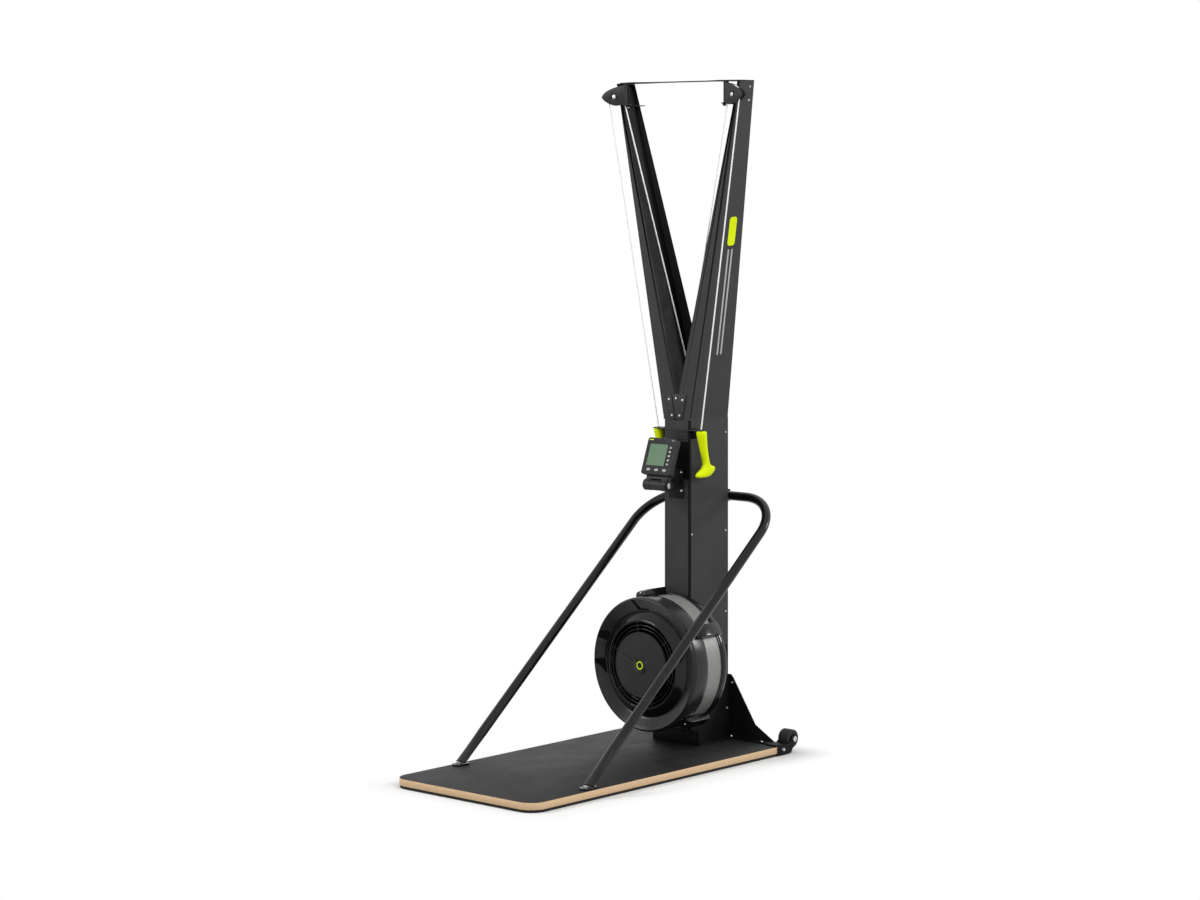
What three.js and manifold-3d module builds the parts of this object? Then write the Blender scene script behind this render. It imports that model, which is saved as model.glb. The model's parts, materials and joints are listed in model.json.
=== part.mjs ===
// A free-standing ski trainer: a board, a mast that opens into two arms, two pulleys with
// handles on cords, and a flywheel in a round housing. Millimetres, +Z up. The user stands
// on the board on the -Y side and faces +Y. The origin is on the floor under the middle.
import * as THREE from 'three';
import { mergeVertices } from 'three/addons/utils/BufferGeometryUtils.js';
import Module from 'manifold-3d';

const wasm = await Module();
wasm.setup();

// Driving dimensions. seat is the gap between touching pieces, weld how far joined stretches
// of one piece run into each other, and overrun how far a cutting tool passes a face.
const overallDepth = 1257;
const overallHeight = 2160;
const seat = 0.3;
const rounds = { large: 40, medium: 32, small: 24, tiny: 16, pin: 12, bore: 20, leaf: 8, fold: 4 };
const overrun = 20;
const weld = 1;

const board = { width: 584, length: 1195, corner: 55, ply: 21.7, underlay: 8, underlayInset: 1.5 };
const mast = { width: 110, depth: 193.5, wall: 2.5, lip: 16, corner: 9, top: 1069, setback: 993 };
const sheetWall = 2.5;
const arm = {
  footRise: 6, spread: 259, headDepth: 76, tip: 8.4, meetRise: 61, rearBottom: 50, rearTop: 14,
};
const splice = { wall: 2.2, below: 79, above: 20 };
const gusset = { gap: 2, rise: 81, halfTop: 42, halfBottom: 25, wall: 3 };
const backPanel = { wall: 2, side: 1, bottom: 234 };
const basePlate = {
  wall: 4, top: 232, halfTop: 76, midHalf: 168, midHeight: 80, inset: 46, flange: 34,
  tipHeight: 4, corner: 10,
};
const strap = {
  wall: 3, bar: 15, endInner: 188, endOuter: 258, front: 13, back: 78, barMiddle: 30, endCut: 28,
  neckShare: 0.6,
};
const pivot = { across: 203, forward: 4, radius: 4, headRadius: 7, head: 4.2, clear: 0.3, toeDegrees: 11.6 };
const lug = { wall: 3, belowTop: 77, radius: 8, tongueBack: 26, back: 70, front: 30, side: 64 };
const leaf = {
  width: 16, wall: 2.5, cordGap: 0.588545, drop: 28, length: 88.4, knuckle: 8, lowRun: 6, swell: 14,
  tipPull: 8,
  tipDrop: 16, tipRise: 18, shoulder: 30, topInset: 5,
};
const pulley = {
  out: 48, belowTop: 47, groove: 24.7, flange: 29, width: 10, bore: 4.3, axle: 4, head: 6.5, headHeight: 3.5,
  rim: 1,
};
const cord = {
  radius: 2.25, clear: 0.4, endGap: 0.7, wrapSteps: 12, bendSteps: 3, sides: 8, wrapLift: 2.9, runLift: 1.2,
};
const handle = {
  across: 89.5, back: 15.5, topRadius: 17, neckRadius: 11.8, neckDrop: 98.7, leanDegrees: 14,
  pommelLong: 88, pommelWide: 24, pommelHigh: 23, pommelDrop: 132, pommelForward: 11, pommelTiltDegrees: 12,
  topRound: 3, shoulderShare: 0.2, flareShare: 0.55, flare: 2.4, waist: 1.2, waistDrop: 14, base: 2,
};
const hook = {
  wall: 3, belowTop: 32, half: 101, front: 6, rear: 36, slot: 9, flangeHalf: 48, flangeDrop: 30,
  rearCorner: 8, sideCorner: 12, frontCorner: 6,
};
const monitor = {
  width: 121, height: 121, depth: 20, tiltDegrees: 20, bulgeWidth: 86, bulgeHeight: 76, bulge: 15,
  bulgeLift: 24, forward: 95, belowHook: 171, axisDrop: 28, axisBack: 25, cheekOuter: 45,
  cheekInner: 22, cheekRadius: 17, pin: 5, pinClear: 0.35, corner: 9, capWall: 2.5, capInset: 2,
  neckHalf: 9, neckInset: 2, footRise: 4, bridgeDepth: 8, caseRounds: 4,
};
const screen = { left: 45.5, right: 30.5, bottom: 28, top: 101.5, deep: 1.6, plate: 1.1 };
const sideButton = { count: 5, across: 42.5, first: 35.5, pitch: 13.7, radius: 3.6 };
const bottomButton = { count: 3, first: -30, pitch: 33, up: 15.2, radius: 3.8 };
const button = { proud: 1.4, deep: 4, clear: 0.3, press: 1 };
const bracket = { width: 58, height: 96, wall: 4, belowPin: 49, armWide: 36, armHigh: 26 };
const housing = {
  outer: 214, ring: 206, frontFace: 166, frontEdge: 150, bandFront: 95, bandRear: 28, band: 208.5,
  bandWall: 2.4, wall: 3, stepRadius: 168, valley: 150, rimRadius: 139, rimFront: 170, hubHole: 34,
  join: 4, lip: 3, lift: 56, flare: 30, edge: 4, rimWall: 2, rimDeep: 8, rimStep: 1, shelf: 12,
  rearEdge: 8, rearWall: 4,
  rearInset: 6, rearThick: 10,
};
const grille = {
  front: 168, wall: 3, disc: 104, discFront: 180, ringWide: 3.4, rings: 3, spokes: 6, spokeWide: 2.4,
  firstSpokeDegrees: 160, rimWide: 4, rimDrop: 3, rimSink: 2, spokeSink: 0.4,
};
const badge = { radius: 28, wall: 1.6 };
const opening = { inner: 176, outer: 205, deep: 9, fromDegrees: 104, toDegrees: 192 };
const damper = {
  outer: 202, wall: 2.5, behind: 7.5, leverInner: 179, leverOuter: 203, fromDegrees: 161,
  toDegrees: 184, slotInner: 187, slotOuter: 193, stemDegrees: 6, playDegrees: 1,
  proud: 3, sink: 2, clear: 0.6, ringInset: 6,
};
const clip = {
  gap: 1.2, width: 38, wall: 18, nose: 7, slope: 24, over: 9, reach: 22, root: 2, anglesDegrees: [32, 102, 148, -52, -128],
};
const flywheel = {
  radius: 172, hub: 30, front: 118, rear: 42, disc: 6, rim: 10, rimBack: 20, vanes: 12, vane: 3, vaneInset: 4,
  vaneRoot: 2,
};
const shaft = { radius: 8, front: 126, clear: 0.3, collar: 5, collarFront: 7 };
const bearing = { radius: 15, width: 11, hanger: 14, hangerHalf: 30 };
const drum = { tangent: 20, flange: 24, flangeWall: 2, bore: 8.4, width: 26, frontBack: 30, rearBack: 112 };
const guide = { belowHook: 7, groove: 10.5, flange: 13, width: 9, axle: 3 };
const returnCord = {
  radius: 4, half: 13, back: 150, belowTop: 94, bottom: 360, sheave: 8.7, sheaveWide: 10, anchor: 10,
  anchorWall: 6,
};
const mastShoe = { wall: 4, half: 98, frontRise: 46, slopeRise: 60, topBelow: 6 };
const brace = {
  radius: 15, inset: 26, footBack: 258, height: 811, bend: 150,
  inner: 4, tab: 5, tabLong: 62, tabWide: 36, lift: 16, sides: 12, bendSteps: 12, roundShare: 0.55,
  heel: 12, boltRoom: 1,
};
const clamp = { wall: 3, half: 36, flange: 22, gap: 1 };
const footBolt = { head: 10, headHeight: 6, shank: 5, deep: 20, clear: 0.3 };
const roller = { radius: 29, length: 40, height: 45, overhang: 33, bore: 5.4 };
const rollerPlate = { wall: 4, reach: 50, inner: 50, bottom: 3, ear: 13 };
const rollerAxle = { radius: 5, head: 8, headHeight: 3.5 };

// Places that follow from them
const boardFront = -overallDepth / 2;
const boardRear = boardFront + board.length;
const boardBottom = board.underlay + seat;
const boardTop = boardBottom + board.ply;
const mastFront = boardFront + mast.setback;
const mastRear = mastFront + mast.depth;
const mastHalf = mast.width / 2;
const mastFoot = boardTop + seat;
const armTop = overallHeight - strap.wall - seat;
const armBottom = mast.top + seat;
const armKink = mast.top + arm.footRise;
const panelFront = mastRear + seat;
const panelRear = panelFront + backPanel.wall;
const lugHeight = overallHeight - lug.belowTop;
const pulleyHeight = overallHeight - pulley.belowTop;
const wheelHeight = boardTop + housing.lift + housing.outer;
const hookHeight = mast.top - hook.belowTop;
const gussetFoot = mast.top + gusset.gap;
const gussetTop = gussetFoot + gusset.rise;
const armMeet = mast.top + arm.meetRise;
const returnTop = mast.top - returnCord.belowTop;
const handleTop = hookHeight - seat;
const neckHeight = handleTop - handle.neckDrop;
const pommelHeight = handleTop - handle.pommelDrop;
const pinHeight = hookHeight - monitor.belowHook;
const guideHeight = hookHeight - guide.belowHook;
const wrapEnd = lugHeight + cord.wrapLift;
const runTop = lugHeight + cord.runLift;
const braceFoot = board.width / 2 - brace.inset;
const plateHalf = board.width / 2 - basePlate.inset;

// Surfaces
const finishes = {
  film: [0x1f1f1f, 0.55, 0.0],
  underlay: [0x2a2a2a, 0.9, 0.0],
  powder: [0x3d3d3e, 0.5, 0.3],
  blackPlate: [0x161616, 0.5, 0.3],
  tubePaint: [0x2b2b2b, 0.4, 0.3],
  moulded: [0x3a3a3a, 0.5, 0.0],
  glossBlack: [0x1b1b1c, 0.25, 0.0],
  bandGrey: [0x7f7f7e, 0.5, 0.2],
  lime: [0xcbe100, 0.5, 0.0],
  cordWhite: [0xe8dfdc, 0.9, 0.0],
  steel: [0x9a9a9a, 0.35, 1.0],
  zinc: [0xb8b8b4, 0.35, 1.0],
  screenGlass: [0x8d9a80, 0.2, 0.0],
  rubber: [0x1c1c1c, 0.85, 0.0],
  casting: [0x6d6d6e, 0.5, 0.8],
};

const machine = new THREE.Group();

// A closed, outward-facing mesh with shared corners
function closed(source) {
  const bare = source.clone();
  bare.deleteAttribute('normal');
  bare.deleteAttribute('uv');
  const merged = mergeVertices(bare, 1e-4);
  const index = Array.from(merged.index.array);
  const spots = merged.attributes.position;
  const kept = [];
  let volume = 0;
  const a = new THREE.Vector3();
  const b = new THREE.Vector3();
  const c = new THREE.Vector3();
  for (let i = 0; i < index.length; i += 3) {
    const [p, q, r] = [index[i], index[i + 1], index[i + 2]];
    if (p === q || q === r || r === p) continue;
    kept.push(p, q, r);
    a.fromBufferAttribute(spots, p);
    b.fromBufferAttribute(spots, q);
    c.fromBufferAttribute(spots, r);
    volume += a.dot(b.cross(c));
  }
  if (volume < 0) {
    for (let i = 0; i < kept.length; i += 3) [kept[i], kept[i + 1]] = [kept[i + 1], kept[i]];
  }
  merged.setIndex(kept);
  return merged;
}

function toSolid(source) {
  const mesh = closed(source);
  return new wasm.Manifold(new wasm.Mesh({
    numProp: 3,
    vertProperties: new Float32Array(mesh.attributes.position.array),
    triVerts: new Uint32Array(mesh.index.array),
  }));
}

function toGeometry(solid) {
  const mesh = solid.getMesh();
  const geometry = new THREE.BufferGeometry();
  geometry.setAttribute('position', new THREE.BufferAttribute(new Float32Array(mesh.vertProperties), 3));
  geometry.setIndex(Array.from(mesh.triVerts));
  return geometry;
}

function join(...shapes) {
  return toGeometry(shapes.map(toSolid).reduce((sum, next) => sum.add(next)));
}

function cut(shape, ...tools) {
  return toGeometry(tools.map(toSolid).reduce((rest, tool) => rest.subtract(tool), toSolid(shape)));
}

function common(shape, other) {
  return toGeometry(toSolid(shape).intersect(toSolid(other)));
}

// A block between two opposite corners
function block(x0, x1, y0, y1, z0, z1) {
  const geometry = new THREE.BoxGeometry(x1 - x0, y1 - y0, z1 - z0);
  return geometry.translate((x0 + x1) / 2, (y0 + y1) / 2, (z0 + z1) / 2);
}

function outline(points) {
  return new THREE.Shape(points.map(([x, y]) => new THREE.Vector2(x, y)));
}

// Plates cut from an outline and made thick along Z, Y or X
function levelPlate(shape, z0, z1, curveSegments = 6) {
  const geometry = new THREE.ExtrudeGeometry(shape, { depth: z1 - z0, bevelEnabled: false, curveSegments });
  return geometry.translate(0, 0, z0);
}

function frontPlate(shape, y0, y1, curveSegments = 6) {
  const geometry = new THREE.ExtrudeGeometry(shape, { depth: y1 - y0, bevelEnabled: false, curveSegments });
  return geometry.rotateX(Math.PI / 2).translate(0, y1, 0);
}

function sidePlate(shape, x0, x1, curveSegments = 6) {
  const geometry = new THREE.ExtrudeGeometry(shape, { depth: x1 - x0, bevelEnabled: false, curveSegments });
  const turn = new THREE.Matrix4().makeBasis(
    new THREE.Vector3(0, 1, 0), new THREE.Vector3(0, 0, 1), new THREE.Vector3(1, 0, 0));
  return geometry.applyMatrix4(turn).translate(x0, 0, 0);
}

// Round bars along Z, Y or X between two ends
function postZ(radius, x, y, z0, z1, sides = rounds.pin) {
  return new THREE.CylinderGeometry(radius, radius, z1 - z0, sides).rotateX(Math.PI / 2)
    .translate(x, y, (z0 + z1) / 2);
}

function postY(radius, x, z, y0, y1, sides = rounds.pin) {
  return new THREE.CylinderGeometry(radius, radius, y1 - y0, sides).translate(x, (y0 + y1) / 2, z);
}

function postX(radius, y, z, x0, x1, sides = rounds.pin) {
  return new THREE.CylinderGeometry(radius, radius, x1 - x0, sides).rotateZ(Math.PI / 2)
    .translate((x0 + x1) / 2, y, z);
}

// A ring about the Y axis from a closed outline of [radius, y]
function turned(points, segments, x = 0, z = 0) {
  const profile = points.map(([r, y]) => new THREE.Vector2(r, y));
  profile.push(profile[0].clone());
  return new THREE.LatheGeometry(profile, segments).translate(x, 0, z);
}

function mirrored(geometry) {
  return closed(geometry.clone().scale(-1, 1, 1));
}

function piece(name, geometry, finish) {
  const [color, roughness, metalness] = finishes[finish];
  const material = new THREE.MeshStandardMaterial({ color, roughness, metalness });
  const mesh = new THREE.Mesh(closed(geometry), material);
  mesh.name = name;
  machine.add(mesh);
}

// The right piece as drawn, and its mirror image on the left
function pair(name, geometry, finish) {
  piece(`${name}_right`, geometry, finish);
  piece(`${name}_left`, mirrored(geometry), finish);
}

// A path that steps from knot to knot, so straight stretches take one step
class KnotPath extends THREE.Curve {
  constructor(knots) {
    super();
    this.knots = knots;
  }

  getPointAt(u) {
    return this.knots[Math.round(u * (this.knots.length - 1))].clone();
  }

  getTangentAt(u) {
    const at = Math.round(u * (this.knots.length - 1));
    const ahead = new THREE.Vector3();
    const behind = new THREE.Vector3();
    if (at < this.knots.length - 1) ahead.subVectors(this.knots[at + 1], this.knots[at]).normalize();
    if (at > 0) behind.subVectors(this.knots[at], this.knots[at - 1]).normalize();
    return ahead.add(behind).normalize();
  }
}

// A tube of round section along a list of knots
function tube(knots, radius, sides) {
  const section = new THREE.Shape();
  section.absarc(0, 0, radius, 0, Math.PI * 2);
  const extrudePath = new KnotPath(knots);
  return new THREE.ExtrudeGeometry(section, { steps: knots.length - 1, extrudePath,
    curveSegments: sides / 2 });
}

function sector(inner, outer, fromDegrees, toDegrees, y0, y1) {
  const shape = new THREE.Shape();
  const from = THREE.MathUtils.degToRad(fromDegrees);
  const to = THREE.MathUtils.degToRad(toDegrees);
  shape.absarc(0, 0, outer, from, to, false);
  shape.absarc(0, 0, inner, to, from, true);
  return frontPlate(shape, y0, y1, rounds.pin).translate(0, 0, wheelHeight);
}

// Base
function boardOutline(inset) {
  const half = board.width / 2 - inset;
  const front = boardFront + inset;
  const shape = new THREE.Shape();
  shape.moveTo(-half, boardRear - inset);
  shape.lineTo(-half, front + board.corner);
  shape.absarc(-half + board.corner, front + board.corner, board.corner, Math.PI, Math.PI * 1.5, false);
  shape.absarc(half - board.corner, front + board.corner, board.corner, -Math.PI / 2, 0, false);
  shape.lineTo(half, boardRear - inset);
  return shape;
}

const footBoltY = mastFront - mast.setback + brace.footBack;

function base() {
  piece('underlay', levelPlate(boardOutline(board.underlayInset), 0, board.underlay), 'underlay');
  const holes = [-braceFoot, braceFoot].map((x) => postZ(
    footBolt.shank + footBolt.clear, x, footBoltY, boardTop - footBolt.deep, boardTop + overrun));
  piece('base_board', cut(levelPlate(boardOutline(0), boardBottom, boardTop), ...holes), 'film');
}

function rearBasePlate() {
  const y0 = panelFront;
  const y1 = y0 + basePlate.wall;
  const z0 = mastFoot;
  const wing = outline([
    [-plateHalf, z0], [plateHalf, z0],
    [plateHalf, z0 + basePlate.tipHeight],
    [basePlate.midHalf, basePlate.midHeight],
    [basePlate.halfTop, basePlate.top - basePlate.corner],
    [basePlate.halfTop - basePlate.corner, basePlate.top],
    [-basePlate.halfTop + basePlate.corner, basePlate.top],
    [-basePlate.halfTop, basePlate.top - basePlate.corner],
    [-basePlate.midHalf, basePlate.midHeight],
    [-plateHalf, z0 + basePlate.tipHeight],
  ]);
  const flange = block(-plateHalf, plateHalf, y0 - basePlate.flange, y1,
    z0, z0 + basePlate.wall);
  const room = mastHalf + mastShoe.wall + 2 * seat;
  const notch = block(-room, room, y0 - basePlate.flange - overrun, y0,
    z0 - overrun, z0 + basePlate.wall + overrun);
  piece('rear_base_plate', cut(join(frontPlate(wing, y0, y1), flange), notch), 'blackPlate');
}

const rollerY = boardRear + roller.overhang;

function rollers() {
  const side = board.width / 2 + seat;
  const outer = side + rollerPlate.wall;
  const innerEar = outer - rollerPlate.inner;
  const webRear = boardRear + seat + rollerPlate.wall - weld;
  const low = rollerPlate.bottom;
  const high = boardTop + seat + rollerPlate.wall;
  const { ear } = rollerPlate;
  const cheek = new THREE.Shape();
  cheek.moveTo(boardRear - rollerPlate.reach, low);
  cheek.lineTo(webRear + ear, low);
  cheek.lineTo(rollerY + ear, roller.height);
  cheek.absarc(rollerY, roller.height, ear, 0, Math.PI, false);
  cheek.lineTo(webRear, high);
  cheek.lineTo(boardRear - rollerPlate.reach, high);
  const innerCheek = new THREE.Shape();
  innerCheek.moveTo(boardRear + seat, boardBottom);
  innerCheek.lineTo(webRear + ear, boardBottom);
  innerCheek.lineTo(rollerY + ear, roller.height);
  innerCheek.absarc(rollerY, roller.height, ear, 0, Math.PI, false);
  innerCheek.lineTo(webRear, high);
  innerCheek.lineTo(boardRear + seat, high);
  const body = join(
    sidePlate(cheek, side, outer),
    sidePlate(innerCheek, innerEar, innerEar + rollerPlate.wall),
    block(innerEar, side + seat, boardRear - rollerPlate.reach, boardRear + seat, boardTop + seat, high),
    block(innerEar, side + seat, boardRear + seat, webRear, boardBottom, high),
  );
  const headEnd = outer + rollerAxle.headHeight;
  const pin = join(
    postX(rollerAxle.radius, rollerY, roller.height, innerEar, headEnd),
    postX(rollerAxle.head, rollerY, roller.height, outer - weld, headEnd),
  );
  pair('roller_bracket', join(body, pin), 'blackPlate');

  const gap = (side - innerEar - rollerPlate.wall - roller.length) / 2;
  const x0 = innerEar + rollerPlate.wall + gap;
  const wheel = postX(roller.radius, rollerY, roller.height, x0, x0 + roller.length, rounds.small);
  const hole = postX(roller.bore, rollerY, roller.height, x0 - overrun, x0 + roller.length + overrun);
  pair('roller', cut(wheel, hole), 'rubber');
}

// The folded saddle on the back panel that holds both brace tubes
const braceY = panelRear + seat + brace.radius;

function braceSaddle() {
  const hug = brace.radius + seat;
  const { wall, flange, gap } = clamp;
  const front = panelRear - weld;
  const foot = panelRear + wall;
  const rear = braceY + hug + wall;
  const top = brace.height + hug + gap;
  const bottom = brace.height - hug - gap;
  return sidePlate(outline([
    [front, bottom - flange], [foot, bottom - flange], [foot, bottom - wall], [rear, bottom - wall],
    [rear, top + wall], [foot, top + wall], [foot, top + flange], [front, top + flange],
    [front, top], [rear - wall, top], [rear - wall, bottom], [front, bottom],
  ]), -clamp.half, clamp.half);
}

// Mast
function channelOutline(half, front, rear, wall, corner, lip) {
  const shape = new THREE.Shape();
  const inside = corner - wall;
  shape.moveTo(half, rear);
  shape.lineTo(half - lip, rear);
  shape.lineTo(half - lip, rear - wall);
  shape.lineTo(half - wall, rear - wall);
  shape.lineTo(half - wall, front + corner);
  shape.absarc(half - corner, front + corner, inside, 0, -Math.PI / 2, true);
  shape.absarc(-half + corner, front + corner, inside, -Math.PI / 2, -Math.PI, true);
  shape.lineTo(-half + wall, rear - wall);
  shape.lineTo(-half + lip, rear - wall);
  shape.lineTo(-half + lip, rear);
  shape.lineTo(-half, rear);
  shape.lineTo(-half, front + corner);
  shape.absarc(-half + corner, front + corner, corner, Math.PI, Math.PI * 1.5, false);
  shape.absarc(half - corner, front + corner, corner, -Math.PI / 2, 0, false);
  return shape;
}

function mastColumn() {
  const profile = channelOutline(mastHalf, mastFront, mastRear, mast.wall, mast.corner, mast.lip);
  const bearingRear = mastFront + bearing.width;
  const shaftHole = postY(shaft.radius + shaft.clear, 0, wheelHeight, mastFront - overrun,
    bearingRear + weld, rounds.bore);
  const bearingSeat = postY(bearing.radius, 0, wheelHeight, mastFront + weld, bearingRear, rounds.bore);
  const anchorY = mastFront + returnCord.back;
  const anchorHalf = mastHalf - weld;
  const anchorTop = returnCord.bottom - seat;
  const anchor = block(-anchorHalf, anchorHalf, anchorY - returnCord.anchor, anchorY + returnCord.anchor,
    anchorTop - returnCord.anchorWall, anchorTop);
  const column = join(levelPlate(profile, mastFoot, mast.top, rounds.fold), bearingSeat, anchor);
  piece('mast_column', cut(column, shaftHole), 'powder');

  const half = mastHalf - backPanel.side;
  const panel = block(-half, half, panelFront, panelRear, backPanel.bottom, mast.top);
  const hangerHalf = mastHalf - mast.lip - mast.wall;
  const hanger = block(-hangerHalf, hangerHalf, panelFront - bearing.hanger, panelFront + weld,
    wheelHeight - bearing.hangerHalf, wheelHeight + bearing.hangerHalf);
  const rearBore = postY(shaft.radius + shaft.clear, 0, wheelHeight, panelFront - 2 * overrun,
    panelFront - weld, rounds.bore);
  const sheave = postY(returnCord.sheave, 0, returnTop, anchorY - returnCord.sheaveWide / 2,
    panelFront + weld,
    rounds.bore);
  piece('mast_back_panel', cut(join(panel, hanger, sheave, braceSaddle()), rearBore), 'powder');

  const inset = mast.wall + seat;
  const spliceShape = channelOutline(mastHalf - inset, mastFront + inset, mastRear - inset - mast.wall,
    splice.wall, mast.corner - inset + splice.wall, mast.lip - inset);
  piece('mast_splice', levelPlate(spliceShape, mast.top - splice.below, mast.top + splice.above,
    rounds.fold), 'blackPlate');
}

// Arms: channels that open inwards
const armSlope = (arm.spread - mastHalf) / (armTop - armKink);

function armWallAt(z) {
  return mastHalf + armSlope * Math.max(0, z - armKink);
}

function rearWedge(shift) {
  const slope = (arm.headDepth - mast.depth) / (armTop - armBottom);
  const low = armBottom - overrun;
  const high = armTop + overrun;
  const lowY = mastRear - shift - slope * overrun;
  const highY = mastFront + arm.headDepth - shift + slope * overrun;
  const back = mastRear + 5 * overrun;
  return sidePlate(outline([[lowY, low], [back, low], [back, high], [highY, high]]),
    -mast.width, arm.spread + overrun);
}

function arms() {
  const front = mastFront;
  const back = mastRear + overrun;
  const outer = frontPlate(outline([
    [seat, armBottom], [mastHalf, armBottom], [mastHalf, armKink], [arm.spread, armTop],
    [arm.spread - arm.tip, armTop], [seat, armMeet],
  ]), front, back);
  const rearOuter = frontPlate(outline([
    [mastHalf - arm.rearBottom, armBottom], [mastHalf, armBottom], [mastHalf, armKink],
    [arm.spread, armTop], [arm.spread - arm.rearTop, armTop], [mastHalf - arm.rearBottom, armKink],
  ]), front + 2 * sheetWall, back);
  const flangeOnly = block(-mast.width, arm.spread + overrun, front, front + sheetWall + weld,
    armBottom - overrun, armTop + overrun);
  const hollow = cut(frontPlate(outline([
    [-mast.width, armBottom - overrun], [mastHalf - sheetWall, armBottom - overrun],
    [mastHalf - sheetWall, armKink], [arm.spread - sheetWall, armTop],
    [arm.spread - sheetWall + armSlope * overrun, armTop + overrun], [-mast.width, armTop + overrun],
  ]), front + sheetWall, back), rearWedge(sheetWall));
  const body = join(common(outer, flangeOnly), rearOuter, frontPlate(outline([
    [mastHalf - sheetWall, armBottom], [mastHalf, armBottom], [mastHalf, armKink],
    [arm.spread, armTop], [arm.spread - sheetWall, armTop], [mastHalf - sheetWall, armKink],
  ]), front, back));
  pair('arm', cut(body, rearWedge(0), hollow), 'powder');
  const plateRear = mastFront - seat;
  piece('gusset_plate', frontPlate(outline([
    [-gusset.halfBottom, gussetFoot], [gusset.halfBottom, gussetFoot],
    [gusset.halfTop, gussetTop], [-gusset.halfTop, gussetTop],
  ]), plateRear - gusset.wall, plateRear), 'powder');
}

// Arm heads: the strap above, a lug below, and the swivelling pulley brackets between them
const pivotY = mastFront - pivot.forward;
const toe = THREE.MathUtils.degToRad(pivot.toeDegrees);

function pivotHole() {
  return postZ(pivot.radius + pivot.clear, pivot.across, pivotY, lugHeight - overrun,
    overallHeight + overrun);
}

function armHeads() {
  const z0 = overallHeight - strap.wall;
  const middle = mastFront + strap.barMiddle;
  const front = mastFront - strap.front;
  const back = mastFront + strap.back;
  const half = [
    [strap.endInner * strap.neckShare, middle - strap.bar], [strap.endInner, front],
    [strap.endOuter, front + strap.endCut],
    [strap.endOuter, back], [strap.endInner, back], [strap.endInner * strap.neckShare, middle + strap.bar],
  ];
  const other = half.map(([x, y]) => [-x, y]).reverse();
  const top = levelPlate(outline([...half, ...other]), z0, overallHeight);
  piece('top_strap', cut(top, pivotHole(), mirrored(pivotHole())), 'blackPlate');

  const low = lugHeight;
  const wallX = armWallAt(low) - sheetWall - seat;
  const tongue = new THREE.Shape();
  tongue.absarc(pivot.across, pivotY, lug.radius, Math.PI, 0, false);
  tongue.lineTo(pivot.across + lug.radius, mastFront + lug.tongueBack);
  tongue.lineTo(wallX - lug.wall, mastFront + lug.front);
  tongue.lineTo(wallX - lug.wall, mastFront + lug.back);
  tongue.lineTo(pivot.across - lug.radius, mastFront + lug.back);
  const rise = lug.side;
  const side = frontPlate(outline([
    [wallX - lug.wall - weld, low], [wallX, low], [wallX + armSlope * rise, low + rise],
    [wallX + armSlope * rise - lug.wall, low + rise], [wallX - lug.wall - weld, low + lug.wall],
  ]), mastFront + lug.front, mastFront + lug.back);
  pair('pivot_lug', cut(join(levelPlate(tongue, low, low + lug.wall), side), pivotHole()), 'blackPlate');
}

// The right bracket is drawn with its pivot on the Z axis and its leaf along +X, then toed out
function atPivot(geometry) {
  return geometry.rotateZ(-toe).translate(pivot.across, pivotY, 0);
}

function pulleyBrackets() {
  const half = leaf.width / 2;
  const low = lugHeight + lug.wall + seat;
  const high = overallHeight - strap.wall - seat;
  const tip = leafSpine + leaf.length;
  const shape = new THREE.Shape();
  shape.moveTo(leafSpine, low);
  shape.lineTo(pulley.out - leaf.lowRun, pulleyHeight - leaf.drop);
  const swell = pulley.out + leaf.swell;
  shape.bezierCurveTo(swell, pulleyHeight - leaf.drop, tip - leaf.tipPull, pulleyHeight - leaf.tipDrop,
    tip, pulleyHeight - weld);
  shape.bezierCurveTo(tip - leaf.tipPull, pulleyHeight + leaf.tipRise, swell, pulleyHeight + leaf.shoulder,
    leafSpine, high - leaf.topInset);
  const leaves = [-half, half - leaf.wall].map((y) => frontPlate(shape, y, y + leaf.wall, rounds.leaf));
  const spine = block(leafSpine, leafSpine + leaf.wall, -half, half, low, high);
  const lugs = [low, high - leaf.wall].map((z) => block(
    -leaf.knuckle, leafSpine + weld, -half, half, z, z + leaf.wall));
  const holes = [
    postZ(pivot.radius + pivot.clear, 0, 0, low - overrun, high + overrun),
    postY(pulley.axle + pivot.clear, pulley.out, pulleyHeight, -half - overrun, half + overrun),
  ];
  pair('pulley_bracket', atPivot(cut(join(...leaves, spine, ...lugs), ...holes)), 'moulded');

  const g = pulley.groove;
  const f = pulley.flange;
  const w = pulley.width / 2;
  const bead = cord.radius + cord.clear;
  const wheel = turned([
    [pulley.bore, -w], [f, -w], [f, pulley.rim - w], [g + bead, -bead], [g, -bead / 2], [g, bead / 2],
    [g + bead, bead], [f, w - pulley.rim], [f, w], [pulley.bore, w],
  ], rounds.small, pulley.out, pulleyHeight);
  pair('pulley', atPivot(wheel), 'glossBlack');

  const face = half + seat;
  pair('pulley_axle', atPivot(join(
    postY(pulley.axle, pulley.out, pulleyHeight, -face - weld, face + weld),
    postY(pulley.head, pulley.out, pulleyHeight, -face - pulley.headHeight, -face),
    postY(pulley.head, pulley.out, pulleyHeight, face, face + pulley.headHeight),
  )), 'zinc');

  const headTop = lugHeight - seat;
  pair('pivot_bolt', join(
    postZ(pivot.radius, pivot.across, pivotY, headTop - weld, overallHeight - seat),
    postZ(pivot.headRadius, pivot.across, pivotY, headTop - pivot.head, headTop),
  ), 'zinc');
}

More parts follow.
